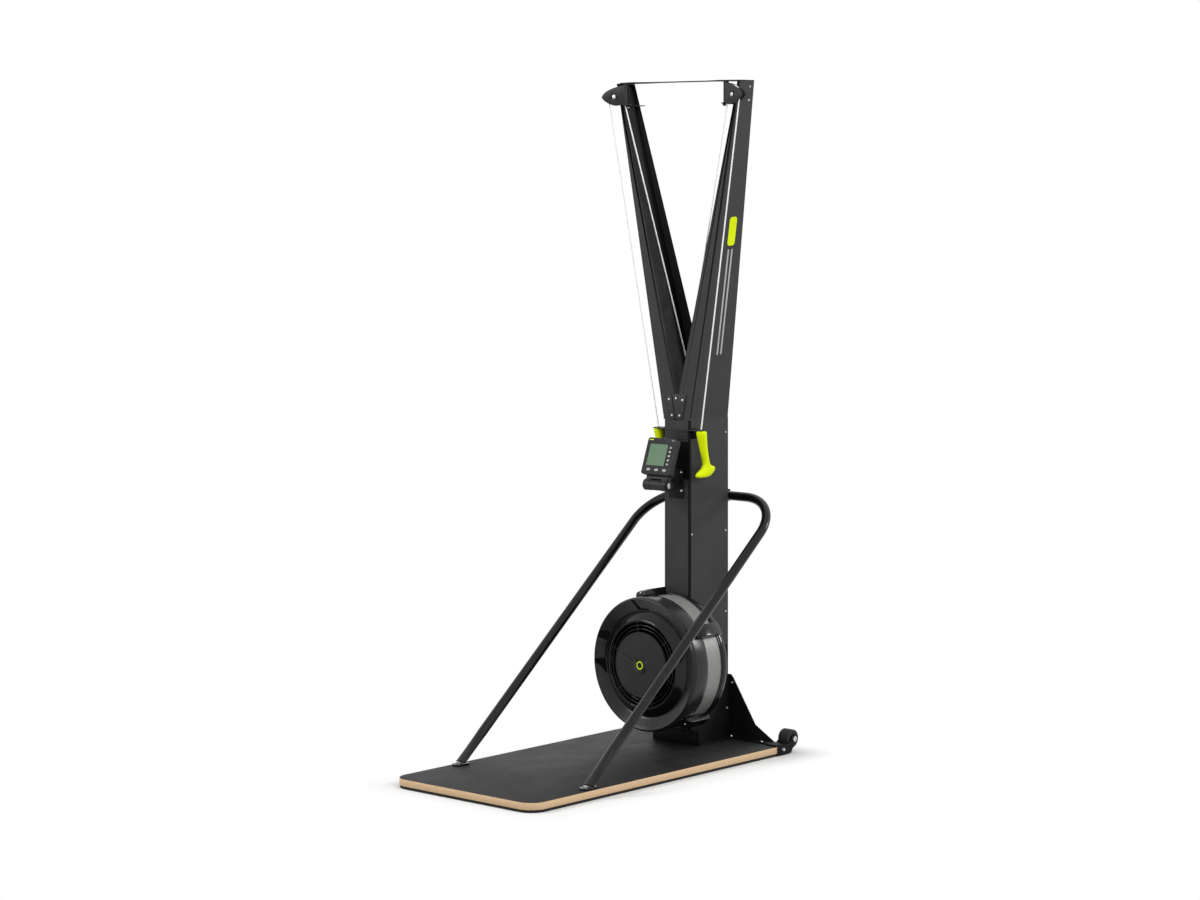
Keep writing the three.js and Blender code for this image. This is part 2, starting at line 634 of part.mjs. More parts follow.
// Cords: a wrap over each pulley, a fall to the handle and a run down the mast to the drum.
// The wrap turns with the pulley bracket, so it ends just above the start of the run.
const cordPath = pulley.groove + cord.clear + cord.radius;
const innerLean = Math.atan2(pivot.across + pulley.out - cordPath + drum.tangent, pulleyHeight - guideHeight);
const spineDrop = pulleyHeight - lugHeight - lug.wall - seat + cordPath * Math.sin(innerLean);
const leafSpine = pulley.out - cordPath * Math.cos(innerLean) - spineDrop * Math.tan(innerLean)
  - cord.radius - leaf.cordGap - leaf.wall;
const handleY = mastFront + handle.back;
const drumY = { right: mastFront + drum.frontBack, left: mastFront + drum.rearBack };

function wheelPoint(angle) {
  const reach = pulley.out + cordPath * Math.cos(angle);
  return new THREE.Vector3(
    pivot.across + reach * Math.cos(toe), pivotY - reach * Math.sin(toe),
    pulleyHeight + cordPath * Math.sin(angle));
}

function cords() {
  const across = pivot.across + pulley.out;
  const outerLean = Math.atan2(across + cordPath - handle.across, pulleyHeight - handleTop);
  const from = -outerLean;
  const to = Math.PI - innerLean;
  const end = new THREE.Vector3(handle.across, handleY, handleTop + cord.endGap);
  const start = wheelPoint(from);
  const along = end.clone().sub(start).normalize();
  pair('cord_fall', tube([start.clone().addScaledVector(along, seat), end],
    cord.radius, cord.sides), 'cordWhite');

  const arc = [];
  for (let i = 0; i <= cord.wrapSteps; i += 1) arc.push(wheelPoint(from + ((to - from) * i) / cord.wrapSteps));
  const leave = arc[cord.wrapSteps];
  for (const side of ['right', 'left']) {
    const bendSpot = new THREE.Vector3(-drum.tangent, drumY[side], guideHeight);
    const down = bendSpot.clone().sub(leave).normalize();
    const atHeight = (z) => leave.clone().addScaledVector(down, (z - leave.z) / down.z);
    const wrap = tube([...arc, atHeight(wrapEnd)], cord.radius, cord.sides);
    piece(`cord_wrap_${side}`, side === 'right' ? wrap : mirrored(wrap), 'cordWhite');

    const before = bendSpot.clone().addScaledVector(down, -guide.groove / 2);
    const after = bendSpot.clone().add(new THREE.Vector3(0, 0, -guide.groove / 2));
    const bend = new THREE.QuadraticBezierCurve3(before, bendSpot, after);
    const foot = new THREE.Vector3(-drum.tangent, drumY[side], wheelHeight);
    const run = tube([atHeight(runTop), ...bend.getPoints(cord.bendSteps), foot], cord.radius, cord.sides);
    piece(`cord_run_${side}`, side === 'right' ? run : mirrored(run), 'cordWhite');
  }
}

// Handles and the plate that they hang under
function handles() {
  const lift = handleTop - neckHeight;
  const profile = [
    [0, handleTop], [handle.topRadius - handle.topRound, handleTop],
    [handle.topRadius, handleTop - handle.topRound],
    [handle.topRadius, handleTop - lift * handle.shoulderShare],
    [handle.neckRadius + handle.flare, handleTop - lift * handle.flareShare],
    [handle.neckRadius, neckHeight], [handle.neckRadius + handle.waist, neckHeight - handle.waistDrop],
    [handle.neckRadius + handle.base, pommelHeight], [0, pommelHeight],
  ].map(([r, z]) => new THREE.Vector2(r, z));
  const grip = new THREE.LatheGeometry(profile, rounds.tiny).rotateX(Math.PI / 2)
    .translate(handle.across, handleY, 0);
  const end = new THREE.Shape();
  const halfLong = handle.pommelLong / 2;
  const halfHigh = handle.pommelHigh / 2;
  end.moveTo(-halfLong + halfHigh, -halfHigh);
  end.absarc(halfLong - halfHigh, 0, halfHigh, -Math.PI / 2, Math.PI / 2, false);
  end.absarc(-halfLong + halfHigh, 0, halfHigh, Math.PI / 2, Math.PI * 1.5, false);
  const pommel = sidePlate(end, -handle.pommelWide / 2, handle.pommelWide / 2)
    .rotateX(THREE.MathUtils.degToRad(handle.pommelTiltDegrees))
    .translate(handle.across, handleY - handle.pommelForward, pommelHeight);
  const lean = Math.tan(THREE.MathUtils.degToRad(handle.leanDegrees));
  const leaned = new THREE.Matrix4().set(1, 0, 0, 0, 0, 1, -lean, lean * handleTop, 0, 0, 1, 0, 0, 0, 0, 1);
  pair('handle', join(grip, pommel).applyMatrix4(leaned), 'lime');
}

function hookPlate() {
  const z0 = hookHeight;
  const z1 = z0 + hook.wall;
  const front = mastFront - hook.front;
  const rear = mastFront + hook.rear;
  const side = mastHalf + seat;
  const slotHalf = hook.slot / 2;
  const half = [
    [side, mastFront - seat], [side, rear], [hook.half - hook.rearCorner, rear],
    [hook.half, rear - hook.rearCorner],
    [hook.half, front + hook.sideCorner], [hook.half - hook.frontCorner, front],
    [handle.across + slotHalf, front],
    [handle.across + slotHalf, handleY + slotHalf], [handle.across - slotHalf, handleY + slotHalf],
    [handle.across - slotHalf, front],
  ];
  const other = half.map(([x, y]) => [-x, y]).reverse();
  const plate = levelPlate(outline([...half, ...other]), z0, z1);
  const flange = block(-hook.flangeHalf, hook.flangeHalf, mastFront - seat - hook.wall, mastFront - seat,
    z0 - hook.flangeDrop, z1);
  piece('handle_hook', join(plate, flange), 'blackPlate');
}

// Monitor: drawn upright with the foot of its face at the origin, then leaned back
const faceLean = THREE.MathUtils.degToRad(monitor.tiltDegrees);
const pinY = mastFront - monitor.forward;

function atMonitor(geometry) {
  return geometry.translate(0, -monitor.axisBack, monitor.axisDrop).rotateX(-faceLean)
    .translate(0, pinY, pinHeight);
}

function roundedRect(x0, x1, z0, z1, r) {
  const shape = new THREE.Shape();
  shape.moveTo(x0 + r, z0);
  shape.absarc(x1 - r, z0 + r, r, -Math.PI / 2, 0, false);
  shape.absarc(x1 - r, z1 - r, r, 0, Math.PI / 2, false);
  shape.absarc(x0 + r, z1 - r, r, Math.PI / 2, Math.PI, false);
  shape.absarc(x0 + r, z0 + r, r, Math.PI, Math.PI * 1.5, false);
  return shape;
}

function buttonSpots() {
  const spots = [];
  for (let i = 0; i < sideButton.count; i += 1) {
    spots.push([`side_button_${i + 1}`, sideButton.across, sideButton.first + i * sideButton.pitch,
      sideButton.radius]);
  }
  for (let i = 0; i < bottomButton.count; i += 1) {
    spots.push([`bottom_button_${i + 1}`, bottomButton.first + i * bottomButton.pitch, bottomButton.up,
      bottomButton.radius]);
  }
  return spots;
}

function monitorUnit() {
  const half = monitor.width / 2;
  const slab = frontPlate(roundedRect(-half, half, 0, monitor.height, monitor.corner), 0,
    monitor.depth, monitor.caseRounds);
  const bulgeHalf = monitor.bulgeWidth / 2;
  const bulge = frontPlate(roundedRect(-bulgeHalf, bulgeHalf, monitor.bulgeLift,
    monitor.bulgeLift + monitor.bulgeHeight, monitor.corner), monitor.depth - weld,
    monitor.depth + monitor.bulge,
  monitor.caseRounds);
  const r = monitor.cheekRadius;
  const { neckInset, footRise } = monitor;
  const neckFront = monitor.axisBack - monitor.neckHalf;
  const neckRear = monitor.axisBack + monitor.neckHalf;
  const cheeks = [-monitor.cheekOuter, monitor.cheekInner + seat].map((x0) => {
    const x1 = x0 + monitor.cheekOuter - monitor.cheekInner - seat;
    return join(
      postX(r, monitor.axisBack, -monitor.axisDrop, x0, x1, rounds.tiny),
      block(x0 + neckInset, x1 - weld, neckFront, neckRear, -monitor.axisDrop, weld),
    );
  });
  const footHalf = monitor.cheekOuter - neckInset;
  const foot = block(-footHalf, footHalf, neckFront, neckRear, -monitor.axisDrop + r + neckInset, footRise);
  const bridge = block(-footHalf, footHalf, monitor.depth - monitor.bridgeDepth, neckRear, 0,
    monitor.bulgeLift + footRise);
  const pocket = block(-screen.left, screen.right, -overrun, screen.deep, screen.bottom, screen.top);
  const wells = buttonSpots().map(([, x, z, radius]) => postY(radius + button.clear, x, z,
    -overrun, button.deep + button.press));
  const pinHole = postX(monitor.pin + monitor.pinClear, monitor.axisBack, -monitor.axisDrop, -half, half);
  piece('monitor_case', atMonitor(cut(join(slab, bulge, ...cheeks, foot, bridge), pocket, ...wells, pinHole)),
    'moulded');

  piece('monitor_screen', atMonitor(block(-screen.left + seat, screen.right - seat,
    screen.deep - seat - screen.plate, screen.deep - seat, screen.bottom + seat, screen.top - seat)),
  'screenGlass');
  for (const [name, x, z, radius] of buttonSpots()) {
    piece(name, atMonitor(postY(radius, x, z, -button.proud, button.deep - seat)), 'glossBlack');
  }
}

function monitorBracket() {
  const rear = mastFront - seat;
  const plate = block(-bracket.width / 2, bracket.width / 2, rear - bracket.wall, rear,
    pinHeight - bracket.belowPin, pinHeight - bracket.belowPin + bracket.height);
  const armHalf = bracket.armHigh / 2;
  const reach = block(-bracket.armWide / 2, bracket.armWide / 2, pinY, rear - weld,
    pinHeight - armHalf, pinHeight + armHalf);
  const knuckle = postX(monitor.cheekRadius, pinY, pinHeight, -monitor.cheekInner, monitor.cheekInner,
    rounds.tiny);
  const end = monitor.cheekOuter + seat;
  const cap = monitor.cheekRadius - monitor.capInset;
  piece('monitor_bracket', join(plate, reach, knuckle,
    postX(monitor.pin, pinY, pinHeight, -end - weld, end + weld),
    postX(cap, pinY, pinHeight, end, end + monitor.capWall, rounds.tiny),
    postX(cap, pinY, pinHeight, -end - monitor.capWall, -end, rounds.tiny),
  ), 'moulded');
}

// Flywheel housing: rings about the shaft; depths are measured forward from the mast front
function ahead(distance) {
  return mastFront - distance;
}

function housingFront() {
  const h = housing;
  const w = h.wall;
  const joinRadius = h.band - h.bandWall;
  const shelfInner = h.stepRadius + w + h.rimWall;
  const ring = turned([
    [joinRadius, ahead(h.bandFront)], [h.band, ahead(h.bandFront + seat)],
    [h.band + h.lip, ahead(h.bandFront + seat)], [h.outer, ahead(h.bandFront + h.flare)],
    [h.outer, ahead(h.frontEdge)], [h.outer - h.lip, ahead(h.frontFace - h.edge)],
    [h.ring, ahead(h.frontFace)],
    [h.stepRadius, ahead(h.valley)], [h.rimRadius + h.rimWall, ahead(h.rimFront)],
    [h.rimRadius, ahead(h.rimFront)], [h.rimRadius, ahead(h.rimFront - h.rimDeep)],
    [h.rimRadius + w, ahead(h.rimFront - h.rimDeep - h.rimStep)],
    [h.stepRadius - w / 2, ahead(h.valley - w)], [shelfInner, ahead(h.valley - w)],
    [h.ring + h.rimStep, ahead(h.frontFace - h.shelf)],
    [h.outer - w, ahead(h.frontEdge)], [h.outer - w, ahead(h.bandFront + h.flare)],
    [joinRadius, ahead(h.bandFront + h.join + seat)],
  ], rounds.large, 0, wheelHeight);
  const recess = sector(opening.inner, opening.outer, opening.fromDegrees, opening.toDegrees,
    ahead(h.frontFace + overrun), ahead(h.frontFace - opening.deep));
  const stemInset = (damper.toDegrees - damper.fromDegrees - damper.stemDegrees) / 2 - damper.playDegrees;
  const slotFrom = opening.fromDegrees + stemInset;
  const slotTo = opening.toDegrees - stemInset;
  const slot = sector(damper.slotInner, damper.slotOuter, slotFrom, slotTo,
    ahead(h.frontFace + overrun), ahead(h.frontFace - overrun));
  piece('housing_front', cut(ring, recess, slot), 'moulded');
}

function damperRing() {
  const h = housing;
  const back = h.frontFace - h.shelf - damper.behind;
  const inner = h.stepRadius + damper.ringInset;
  const ring = turned([
    [inner, ahead(back - damper.wall)], [damper.outer, ahead(back - damper.wall)],
    [damper.outer, ahead(back)],
    [inner, ahead(back)],
  ], rounds.large, 0, wheelHeight);
  const middle = (damper.fromDegrees + damper.toDegrees) / 2;
  const stem = sector(damper.slotInner + damper.clear, damper.slotOuter - damper.clear,
    middle - damper.stemDegrees / 2,
    middle + damper.stemDegrees / 2, ahead(h.frontFace - damper.sink), ahead(back - weld));
  const lever = sector(damper.leverInner, damper.leverOuter, damper.fromDegrees, damper.toDegrees,
    ahead(h.frontFace + damper.proud), ahead(h.frontFace - opening.deep + seat));
  piece('damper_ring', join(ring, stem, lever), 'moulded');
}

function housingRest() {
  const h = housing;
  piece('screen_band', turned([
    [h.band - h.bandWall, ahead(h.bandFront - seat)], [h.band, ahead(h.bandFront - seat)],
    [h.band, ahead(h.bandRear + seat)], [h.band - h.bandWall, ahead(h.bandRear + seat)],
  ], rounds.large, 0, wheelHeight), 'bandGrey');

  const g = grille;
  const rings = [];
  const inside = g.disc - g.rimWide;
  rings.push(turned([
    [0, ahead(g.discFront)], [inside, ahead(g.discFront)], [g.disc, ahead(g.discFront - g.rimDrop)],
    [g.disc, ahead(g.front - g.rimSink)], [inside, ahead(g.discFront - g.wall)],
    [0, ahead(g.discFront - g.wall)],
  ], rounds.medium, 0, wheelHeight));
  const outer = h.rimRadius - seat;
  const pitch = (outer - g.disc) / g.rings;
  for (let i = 1; i <= g.rings; i += 1) {
    const r = g.disc + i * pitch;
    rings.push(turned([[r - g.ringWide, ahead(g.front)], [r, ahead(g.front)], [r, ahead(g.front - g.wall)],
      [r - g.ringWide, ahead(g.front - g.wall)]], i < g.rings ? rounds.medium : rounds.large, 0,
      wheelHeight));
  }
  for (let i = 0; i < g.spokes; i += 1) {
    const angle = THREE.MathUtils.degToRad(g.firstSpokeDegrees) + (i * Math.PI * 2) / g.spokes;
    const spoke = block(g.disc - g.rimDrop, outer - weld, ahead(g.front - g.spokeSink),
      ahead(g.front - g.wall + g.spokeSink), -g.spokeWide / 2, g.spokeWide / 2);
    rings.push(spoke.rotateY(-angle).translate(0, 0, wheelHeight));
  }
  rings.push(postY(badge.radius, 0, wheelHeight, ahead(g.discFront + badge.wall), ahead(g.discFront - weld),
    rounds.small));
  piece('grille', join(...rings), 'moulded');
}

function housingRear() {
  const h = housing;
  const shell = turned([
    [h.hubHole, ahead(seat)], [h.outer - h.rearEdge, ahead(seat)], [h.outer, ahead(h.rearEdge)],
    [h.outer, ahead(h.bandRear - h.rearInset)], [h.outer - h.rearWall, ahead(h.bandRear)],
    [h.band - h.bandWall, ahead(h.bandRear)], [h.band - h.bandWall, ahead(h.bandRear - h.rearWall)],
    [h.outer - h.rearWall, ahead(h.bandRear - h.rearEdge)], [h.outer - h.rearWall, ahead(h.rearThick)],
    [h.outer - h.rearThick, ahead(seat + h.wall)], [h.hubHole, ahead(seat + h.wall)],
  ], rounds.large, 0, wheelHeight);
  const inner = h.outer + clip.gap;
  const clips = clip.anglesDegrees.map((degrees) => {
    const front = ahead(h.bandFront + clip.over + clip.reach);
    const foot = ahead(h.bandRear - clip.root);
    const back = ahead(h.bandRear - clip.over);
    const hoop = turned([
      [inner, front], [inner + clip.nose, front], [inner + clip.wall, front + clip.slope],
      [inner + clip.wall, back], [inner - clip.root, back],
      [inner - clip.root, foot], [inner, foot],
    ], rounds.large);
    const half = clip.width / 2;
    const wedge = block(0, h.outer + 2 * overrun, ahead(h.bandFront + 3 * overrun), ahead(0), -half, half);
    const angle = THREE.MathUtils.degToRad(degrees);
    return common(hoop, wedge).rotateY(-angle).translate(0, 0, wheelHeight);
  });
  piece('housing_rear', join(shell, ...clips), 'glossBlack');
}

// The folded shoe about the foot of the mast: a cross plate in front, a cheek and a flange each side
function mastFootShoe() {
  const { wall, half } = mastShoe;
  const z0 = mastFoot;
  const side = mastHalf + seat;
  const front = mastFront - seat;
  const low = z0 + mastShoe.frontRise;
  const cheek = sidePlate(outline([
    [front - weld, z0], [mastRear, z0], [mastRear, basePlate.top - mastShoe.topBelow],
    [mastRear - basePlate.corner, basePlate.top - mastShoe.topBelow],
    [front + mastShoe.slopeRise, low + mastShoe.slopeRise], [front - weld, low],
  ]), side, side + wall);
  const flange = block(side + wall - weld, half, front - weld, panelFront - basePlate.flange - seat,
    z0, z0 + wall);
  const right = join(cheek, flange);
  piece('mast_shoe', join(block(-half, half, front - wall, front, z0, low), right, mirrored(right)),
    'blackPlate');
}

// Flywheel, shaft and cord drums
function driveTrain() {
  const f = flywheel;
  const bore = shaft.radius - weld;
  const inside = f.radius - f.rim;
  const middle = (f.front + f.rear) / 2;
  const discFront = ahead(middle + f.disc / 2);
  const discRear = ahead(middle - f.disc / 2);
  const core = turned([
    [bore, ahead(f.front)], [f.hub, ahead(f.front)], [f.hub, discFront], [inside, discFront],
    [inside, ahead(f.front - f.rimBack)], [f.radius, ahead(f.front - f.rimBack)], [f.radius, ahead(f.rear)],
    [inside, ahead(f.rear)], [inside, discRear], [f.hub, discRear], [f.hub, ahead(f.rear)],
    [bore, ahead(f.rear)],
  ], rounds.medium, 0, wheelHeight);
  const vanes = [];
  for (let i = 0; i < f.vanes; i += 1) {
    const vane = block(f.hub - f.vaneRoot, f.radius - f.vaneRoot, ahead(f.front - f.vaneInset),
      ahead(f.rear + f.vaneInset), -f.vane / 2, f.vane / 2);
    vanes.push(vane.rotateY((i * Math.PI * 2) / f.vanes).translate(0, 0, wheelHeight));
  }
  const rear = mastRear - mast.wall;
  const collar = postY(shaft.radius + shaft.collar, 0, wheelHeight, ahead(f.front + shaft.collarFront),
    ahead(f.front - weld),
    rounds.bore);
  const axle = postY(shaft.radius, 0, wheelHeight, ahead(shaft.front), rear, rounds.bore);
  piece('flywheel', join(core, ...vanes, axle, collar), 'casting');

  const guideFront = mastFront + mast.wall + seat + splice.wall + seat;
  for (const side of ['right', 'left']) {
    const groove = drum.tangent - cord.radius - cord.clear;
    const y = drumY[side];
    const w = drum.width / 2;
    piece(`cord_drum_${side}`, turned([
      [drum.bore, y - w], [drum.flange, y - w], [drum.flange, y - w + drum.flangeWall],
      [groove, y - w + drum.flangeWall], [groove, y + w - drum.flangeWall],
      [drum.flange, y + w - drum.flangeWall],
      [drum.flange, y + w], [drum.bore, y + w],
    ], rounds.small, 0, wheelHeight), 'glossBlack');
    const sign = side === 'right' ? -1 : 1;
    const x = sign * (drum.tangent + cord.radius + cord.clear + guide.groove);
    const gw = guide.width / 2;
    const bead = cord.radius + cord.clear;
    piece(`guide_roller_${side}`, turned([
      [0, guideFront], [guide.axle, guideFront], [guide.axle, y - gw], [guide.flange, y - gw],
      [guide.groove, y - bead / 2], [guide.groove, y + bead / 2], [guide.flange, y + gw],
      [guide.axle, y + gw], [guide.axle, panelFront - seat], [0, panelFront - seat],
    ], rounds.tiny, x, guideHeight), 'steel');
  }
}

function returnSpring() {
  const y = mastFront + returnCord.back;
  const r = returnCord.half;
  const knots = [new THREE.Vector3(-r, y, returnCord.bottom)];
  for (let i = 0; i <= cord.wrapSteps; i += 1) {
    const angle = Math.PI * (1 - i / cord.wrapSteps);
    knots.push(new THREE.Vector3(r * Math.cos(angle), y, returnTop + r * Math.sin(angle)));
  }
  knots.push(new THREE.Vector3(r, y, returnCord.bottom));
  piece('return_cord', tube(knots, returnCord.radius, cord.sides), 'rubber');
}

// Braces from behind the mast down to the board
function braces() {
  const footZ = boardTop + seat;
  const start = new THREE.Vector3(brace.inner, braceY, brace.height);
  const corner = new THREE.Vector3(braceFoot, braceY, brace.height);
  const foot = new THREE.Vector3(braceFoot, footBoltY + brace.heel, footZ + brace.lift);
  const inDirection = corner.clone().sub(start).normalize();
  const outDirection = foot.clone().sub(corner).normalize();
  const before = corner.clone().addScaledVector(inDirection, -brace.bend);
  const after = corner.clone().addScaledVector(outDirection, brace.bend);
  const pull = brace.bend * brace.roundShare;
  const bend = new THREE.CubicBezierCurve3(before, before.clone().addScaledVector(inDirection, pull),
    after.clone().addScaledVector(outDirection, -pull), after);
  const bar = tube([start, ...bend.getPoints(brace.bendSteps), foot], brace.radius, brace.sides);
  const tabRear = footBoltY + brace.tabLong - brace.tabWide / 2;
  const tab = new THREE.Shape();
  tab.absarc(braceFoot, footBoltY, brace.tabWide / 2, Math.PI, 0, false);
  tab.lineTo(braceFoot + brace.tabWide / 2, tabRear);
  tab.lineTo(braceFoot - brace.tabWide / 2, tabRear);
  const below = block(braceFoot - 2 * overrun, braceFoot + 2 * overrun, footBoltY - 5 * overrun,
    footBoltY + 5 * overrun, footZ - 5 * overrun, footZ);
  const boltRoom = postZ(footBolt.head + brace.boltRoom, braceFoot, footBoltY, footZ + brace.tab,
    footZ + 5 * overrun);
  const hole = postZ(footBolt.shank + footBolt.clear, braceFoot, footBoltY, footZ - overrun, footZ + overrun);
  pair('brace_tube', cut(join(bar, levelPlate(tab, footZ, footZ + brace.tab)), below, boltRoom, hole),
    'tubePaint');

  pair('foot_bolt', join(
    postZ(footBolt.shank, braceFoot, footBoltY, boardTop - footBolt.deep + seat,
      footZ + brace.tab + seat + weld),
    postZ(footBolt.head, braceFoot, footBoltY, footZ + brace.tab + seat,
      footZ + brace.tab + seat + footBolt.headHeight,
      rounds.bore),
  ), 'zinc');
}

base();
rearBasePlate();
rollers();
mastColumn();
arms();
armHeads();
pulleyBrackets();
cords();
handles();
hookPlate();
monitorUnit();
monitorBracket();
housingFront();
damperRing();
housingRest();
housingRear();
mastFootShoe();
driveTrain();
returnSpring();
braces();

export default machine;
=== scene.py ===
# %% [markdown]
# A free-standing ski trainer stands on a film-faced board. A folded steel mast carries two
# arms, two cords with handles, a round flywheel housing and a small monitor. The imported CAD
# model is the frame: it gives every place and size in metres, and each finished piece made
# here rides on one of its bodies. Lengths below are in millimetres until they meet a mesh.

# %% Load the frame
import json
import math

import bmesh
import bpy
from mathutils import Matrix, Vector

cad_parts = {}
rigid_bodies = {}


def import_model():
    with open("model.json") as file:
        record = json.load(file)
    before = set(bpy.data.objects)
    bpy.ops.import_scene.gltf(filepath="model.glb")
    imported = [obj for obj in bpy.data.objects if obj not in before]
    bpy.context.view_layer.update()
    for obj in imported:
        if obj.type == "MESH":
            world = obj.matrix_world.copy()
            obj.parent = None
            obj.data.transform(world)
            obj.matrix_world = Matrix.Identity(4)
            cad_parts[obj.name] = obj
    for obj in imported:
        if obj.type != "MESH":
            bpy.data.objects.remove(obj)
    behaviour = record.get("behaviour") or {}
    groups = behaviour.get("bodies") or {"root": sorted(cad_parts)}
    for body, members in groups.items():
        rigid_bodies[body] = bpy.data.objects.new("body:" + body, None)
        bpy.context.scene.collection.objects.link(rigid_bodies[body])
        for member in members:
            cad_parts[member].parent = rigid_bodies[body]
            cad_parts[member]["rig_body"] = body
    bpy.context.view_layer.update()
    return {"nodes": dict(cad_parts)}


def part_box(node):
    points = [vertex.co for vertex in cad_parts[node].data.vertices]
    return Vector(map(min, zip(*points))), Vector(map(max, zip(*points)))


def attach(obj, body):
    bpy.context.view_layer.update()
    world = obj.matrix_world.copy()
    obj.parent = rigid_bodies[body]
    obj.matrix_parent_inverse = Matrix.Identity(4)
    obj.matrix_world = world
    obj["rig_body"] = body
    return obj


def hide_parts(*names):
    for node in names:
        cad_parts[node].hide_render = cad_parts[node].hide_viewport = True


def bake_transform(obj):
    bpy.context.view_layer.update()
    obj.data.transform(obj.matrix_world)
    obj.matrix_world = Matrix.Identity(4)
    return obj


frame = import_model()
nodes = frame["nodes"]
MM = 0.001
SIDES = {"right": 1, "left": -1}

# %% [markdown]
# The photograph was taken with a level camera and a lens shift, which keeps the mast's
# edges upright. The camera repeats that: it looks along the floor, and the shift moves the
# picture down to the machine.

# %% Camera
PHOTO_WIDTH = 1200
PHOTO_HEIGHT = 900
FOCAL_PIXELS = 2942.6
VANISHING_COLUMN = 601.8
HORIZON_ROW = 171.4
CAMERA_PLACE = Vector((6127.2, -6875.1, 1869.2)) * MM
CAMERA_TURN = math.radians(41.7)
SENSOR_MM = 36.0

camera_data = bpy.data.cameras.new("camera")
camera_data.sensor_width = SENSOR_MM
camera_data.lens = FOCAL_PIXELS * SENSOR_MM / PHOTO_WIDTH
camera_data.shift_x = (PHOTO_WIDTH / 2 - VANISHING_COLUMN) / PHOTO_WIDTH
camera_data.shift_y = (HORIZON_ROW - PHOTO_HEIGHT / 2) / PHOTO_WIDTH
camera_data.clip_end = 100.0
camera = bpy.data.objects.new("camera", camera_data)
camera.location = CAMERA_PLACE
camera.rotation_euler = (math.radians(90), 0.0, CAMERA_TURN)
bpy.context.scene.collection.objects.link(camera)
bpy.context.scene.camera = camera
print("lens", round(camera_data.lens, 1), "mm, shift", round(camera_data.shift_y, 3))

# %% [markdown]
# Every finish is a small network of shader nodes. One function turns a colour as it is
# written for the web into the linear values that the shader wants. Another adds a node,
# sets it and wires it, so that each material below reads from top to bottom.

# %% Shader helpers
def linear(colour):
    """'#rrggbb' as linear red, green, blue and alpha."""
    parts = [int(colour[i:i + 2], 16) / 255 for i in (1, 3, 5)]
    return tuple(c / 12.92 if c <= 0.04045 else ((c + 0.055) / 1.055) ** 2.4 for c in parts) + (1.0,)


def add(material, kind, wires=None, **settings):
    """One shader node, with its settings, plain socket values and links."""
    tree = material.node_tree
    node = tree.nodes.new(kind)
    for key, value in settings.items():
        setattr(node, key, value)
    for key, value in (wires or {}).items():
        if isinstance(key, int):
            socket = node.inputs[key]
        else:
            socket = next(s for s in node.inputs if s.enabled and s.name == key)
        if isinstance(value, bpy.types.NodeSocket):
            tree.links.new(value, socket)
        else:
            socket.default_value = value
    return node


def out(node, name=None):
    """The output of that name that is in use, or the first one in use."""
    return next(s for s in node.outputs if s.enabled and name in (None, s.name))


def finish_named(name):
    """An empty material with its tree ready for nodes."""
    material = bpy.data.materials.new(name)
    material.use_nodes = True
    material.node_tree.nodes.clear()
    return material


def shade_with(material, shader):
    """Wires a shader to the material's output."""
    add(material, "ShaderNodeOutputMaterial", {"Surface": shader.outputs[0]})
    return material

# %% [markdown]
# Most of the machine is one of a few dark surfaces that differ in grain and gloss: powder
# coat on the folded steel, satin paint on the tubes, and fine-grained or polished plastic on
# the mouldings. They share one recipe: two shades mixed by a soft noise, and a bump from a
# finer noise whose scale comes from the real grain size. Grain finer than half a
# millimetre would vanish in the picture, so it is drawn a little coarser than it is.

# %% Grained finishes
GRAINS_PER_METRE = 1000.0


def grained(name, dark, light, roughness, grain_mm, bump, specular=0.3, patch_mm=60.0,
            coat=0.0, wear=0.06):
    """A surface with a fine grain, faint patches and a little change in its gloss."""
    material = finish_named(name)
    place = add(material, "ShaderNodeTexCoord").outputs["Object"]
    patch = add(material, "ShaderNodeTexNoise", {
        "Vector": place, "Scale": GRAINS_PER_METRE / patch_mm, "Detail": 4.0, "Roughness": 0.6})
    grain = add(material, "ShaderNodeTexNoise", {
        "Vector": place, "Scale": GRAINS_PER_METRE / grain_mm, "Detail": 2.0, "Roughness": 0.5})
    blend = add(material, "ShaderNodeMath", {0: patch.outputs["Fac"], 1: grain.outputs["Fac"]},
                operation="MULTIPLY")
    spread = add(material, "ShaderNodeMapRange", {
        "Value": blend.outputs[0], "From Min": 0.12, "From Max": 0.4})
    colour = add(material, "ShaderNodeMix", {
        "Factor": spread.outputs["Result"], "A": linear(dark), "B": linear(light)},
        data_type="RGBA")
    gloss = add(material, "ShaderNodeMapRange", {
        "Value": patch.outputs["Fac"], "From Min": 0.3, "From Max": 0.7,
        "To Min": max(roughness - wear, 0.02), "To Max": roughness + wear})
    relief = add(material, "ShaderNodeBump", {
        "Height": grain.outputs["Fac"], "Strength": bump, "Distance": grain_mm * MM * 0.4})
    surface = add(material, "ShaderNodeBsdfPrincipled", {
        "Base Color": out(colour), "Roughness": out(gloss),
        "Normal": out(relief), "Specular IOR Level": specular,
        "Coat Weight": coat})
    return shade_with(material, surface)

print("grained finishes can be made")

# %% [markdown]
# The dark surfaces are told apart by gloss more than by colour. Each could be one flat black,
# but then the mast, the tubes and the mouldings would merge in the picture. So every coat,
# plastic and rubber has its own pair of shades, gloss, grain in millimetres and bump.

# %% Dark coats, plastics and rubbers
# Polyester powder coat, sprayed and baked on the folded mast and arms: a dull orange peel
POWDER_COAT = grained("powder_coat", "#2b2b2b", "#353534", 0.5, 1.6, 0.25, 0.2)
# The same coat in a deeper black on the foot plates, the strap, the lugs and the pivot bolts; it is also
# painted shade on the front folds, the arms' inner faces and the mast's foot
BLACK_COAT_AND_SHADE = grained("black_powder_coat_and_painted_shade", "#080809", "#0f0f10", 0.52, 1.6, 0.25, 0.12)
# Satin powder coat on the bent tubes, smoother, so a soft line of light runs down each tube
TUBE_COAT = grained("satin_tube_coat", "#070708", "#0c0c0c", 0.17, 1.2, 0.02, 0.32)
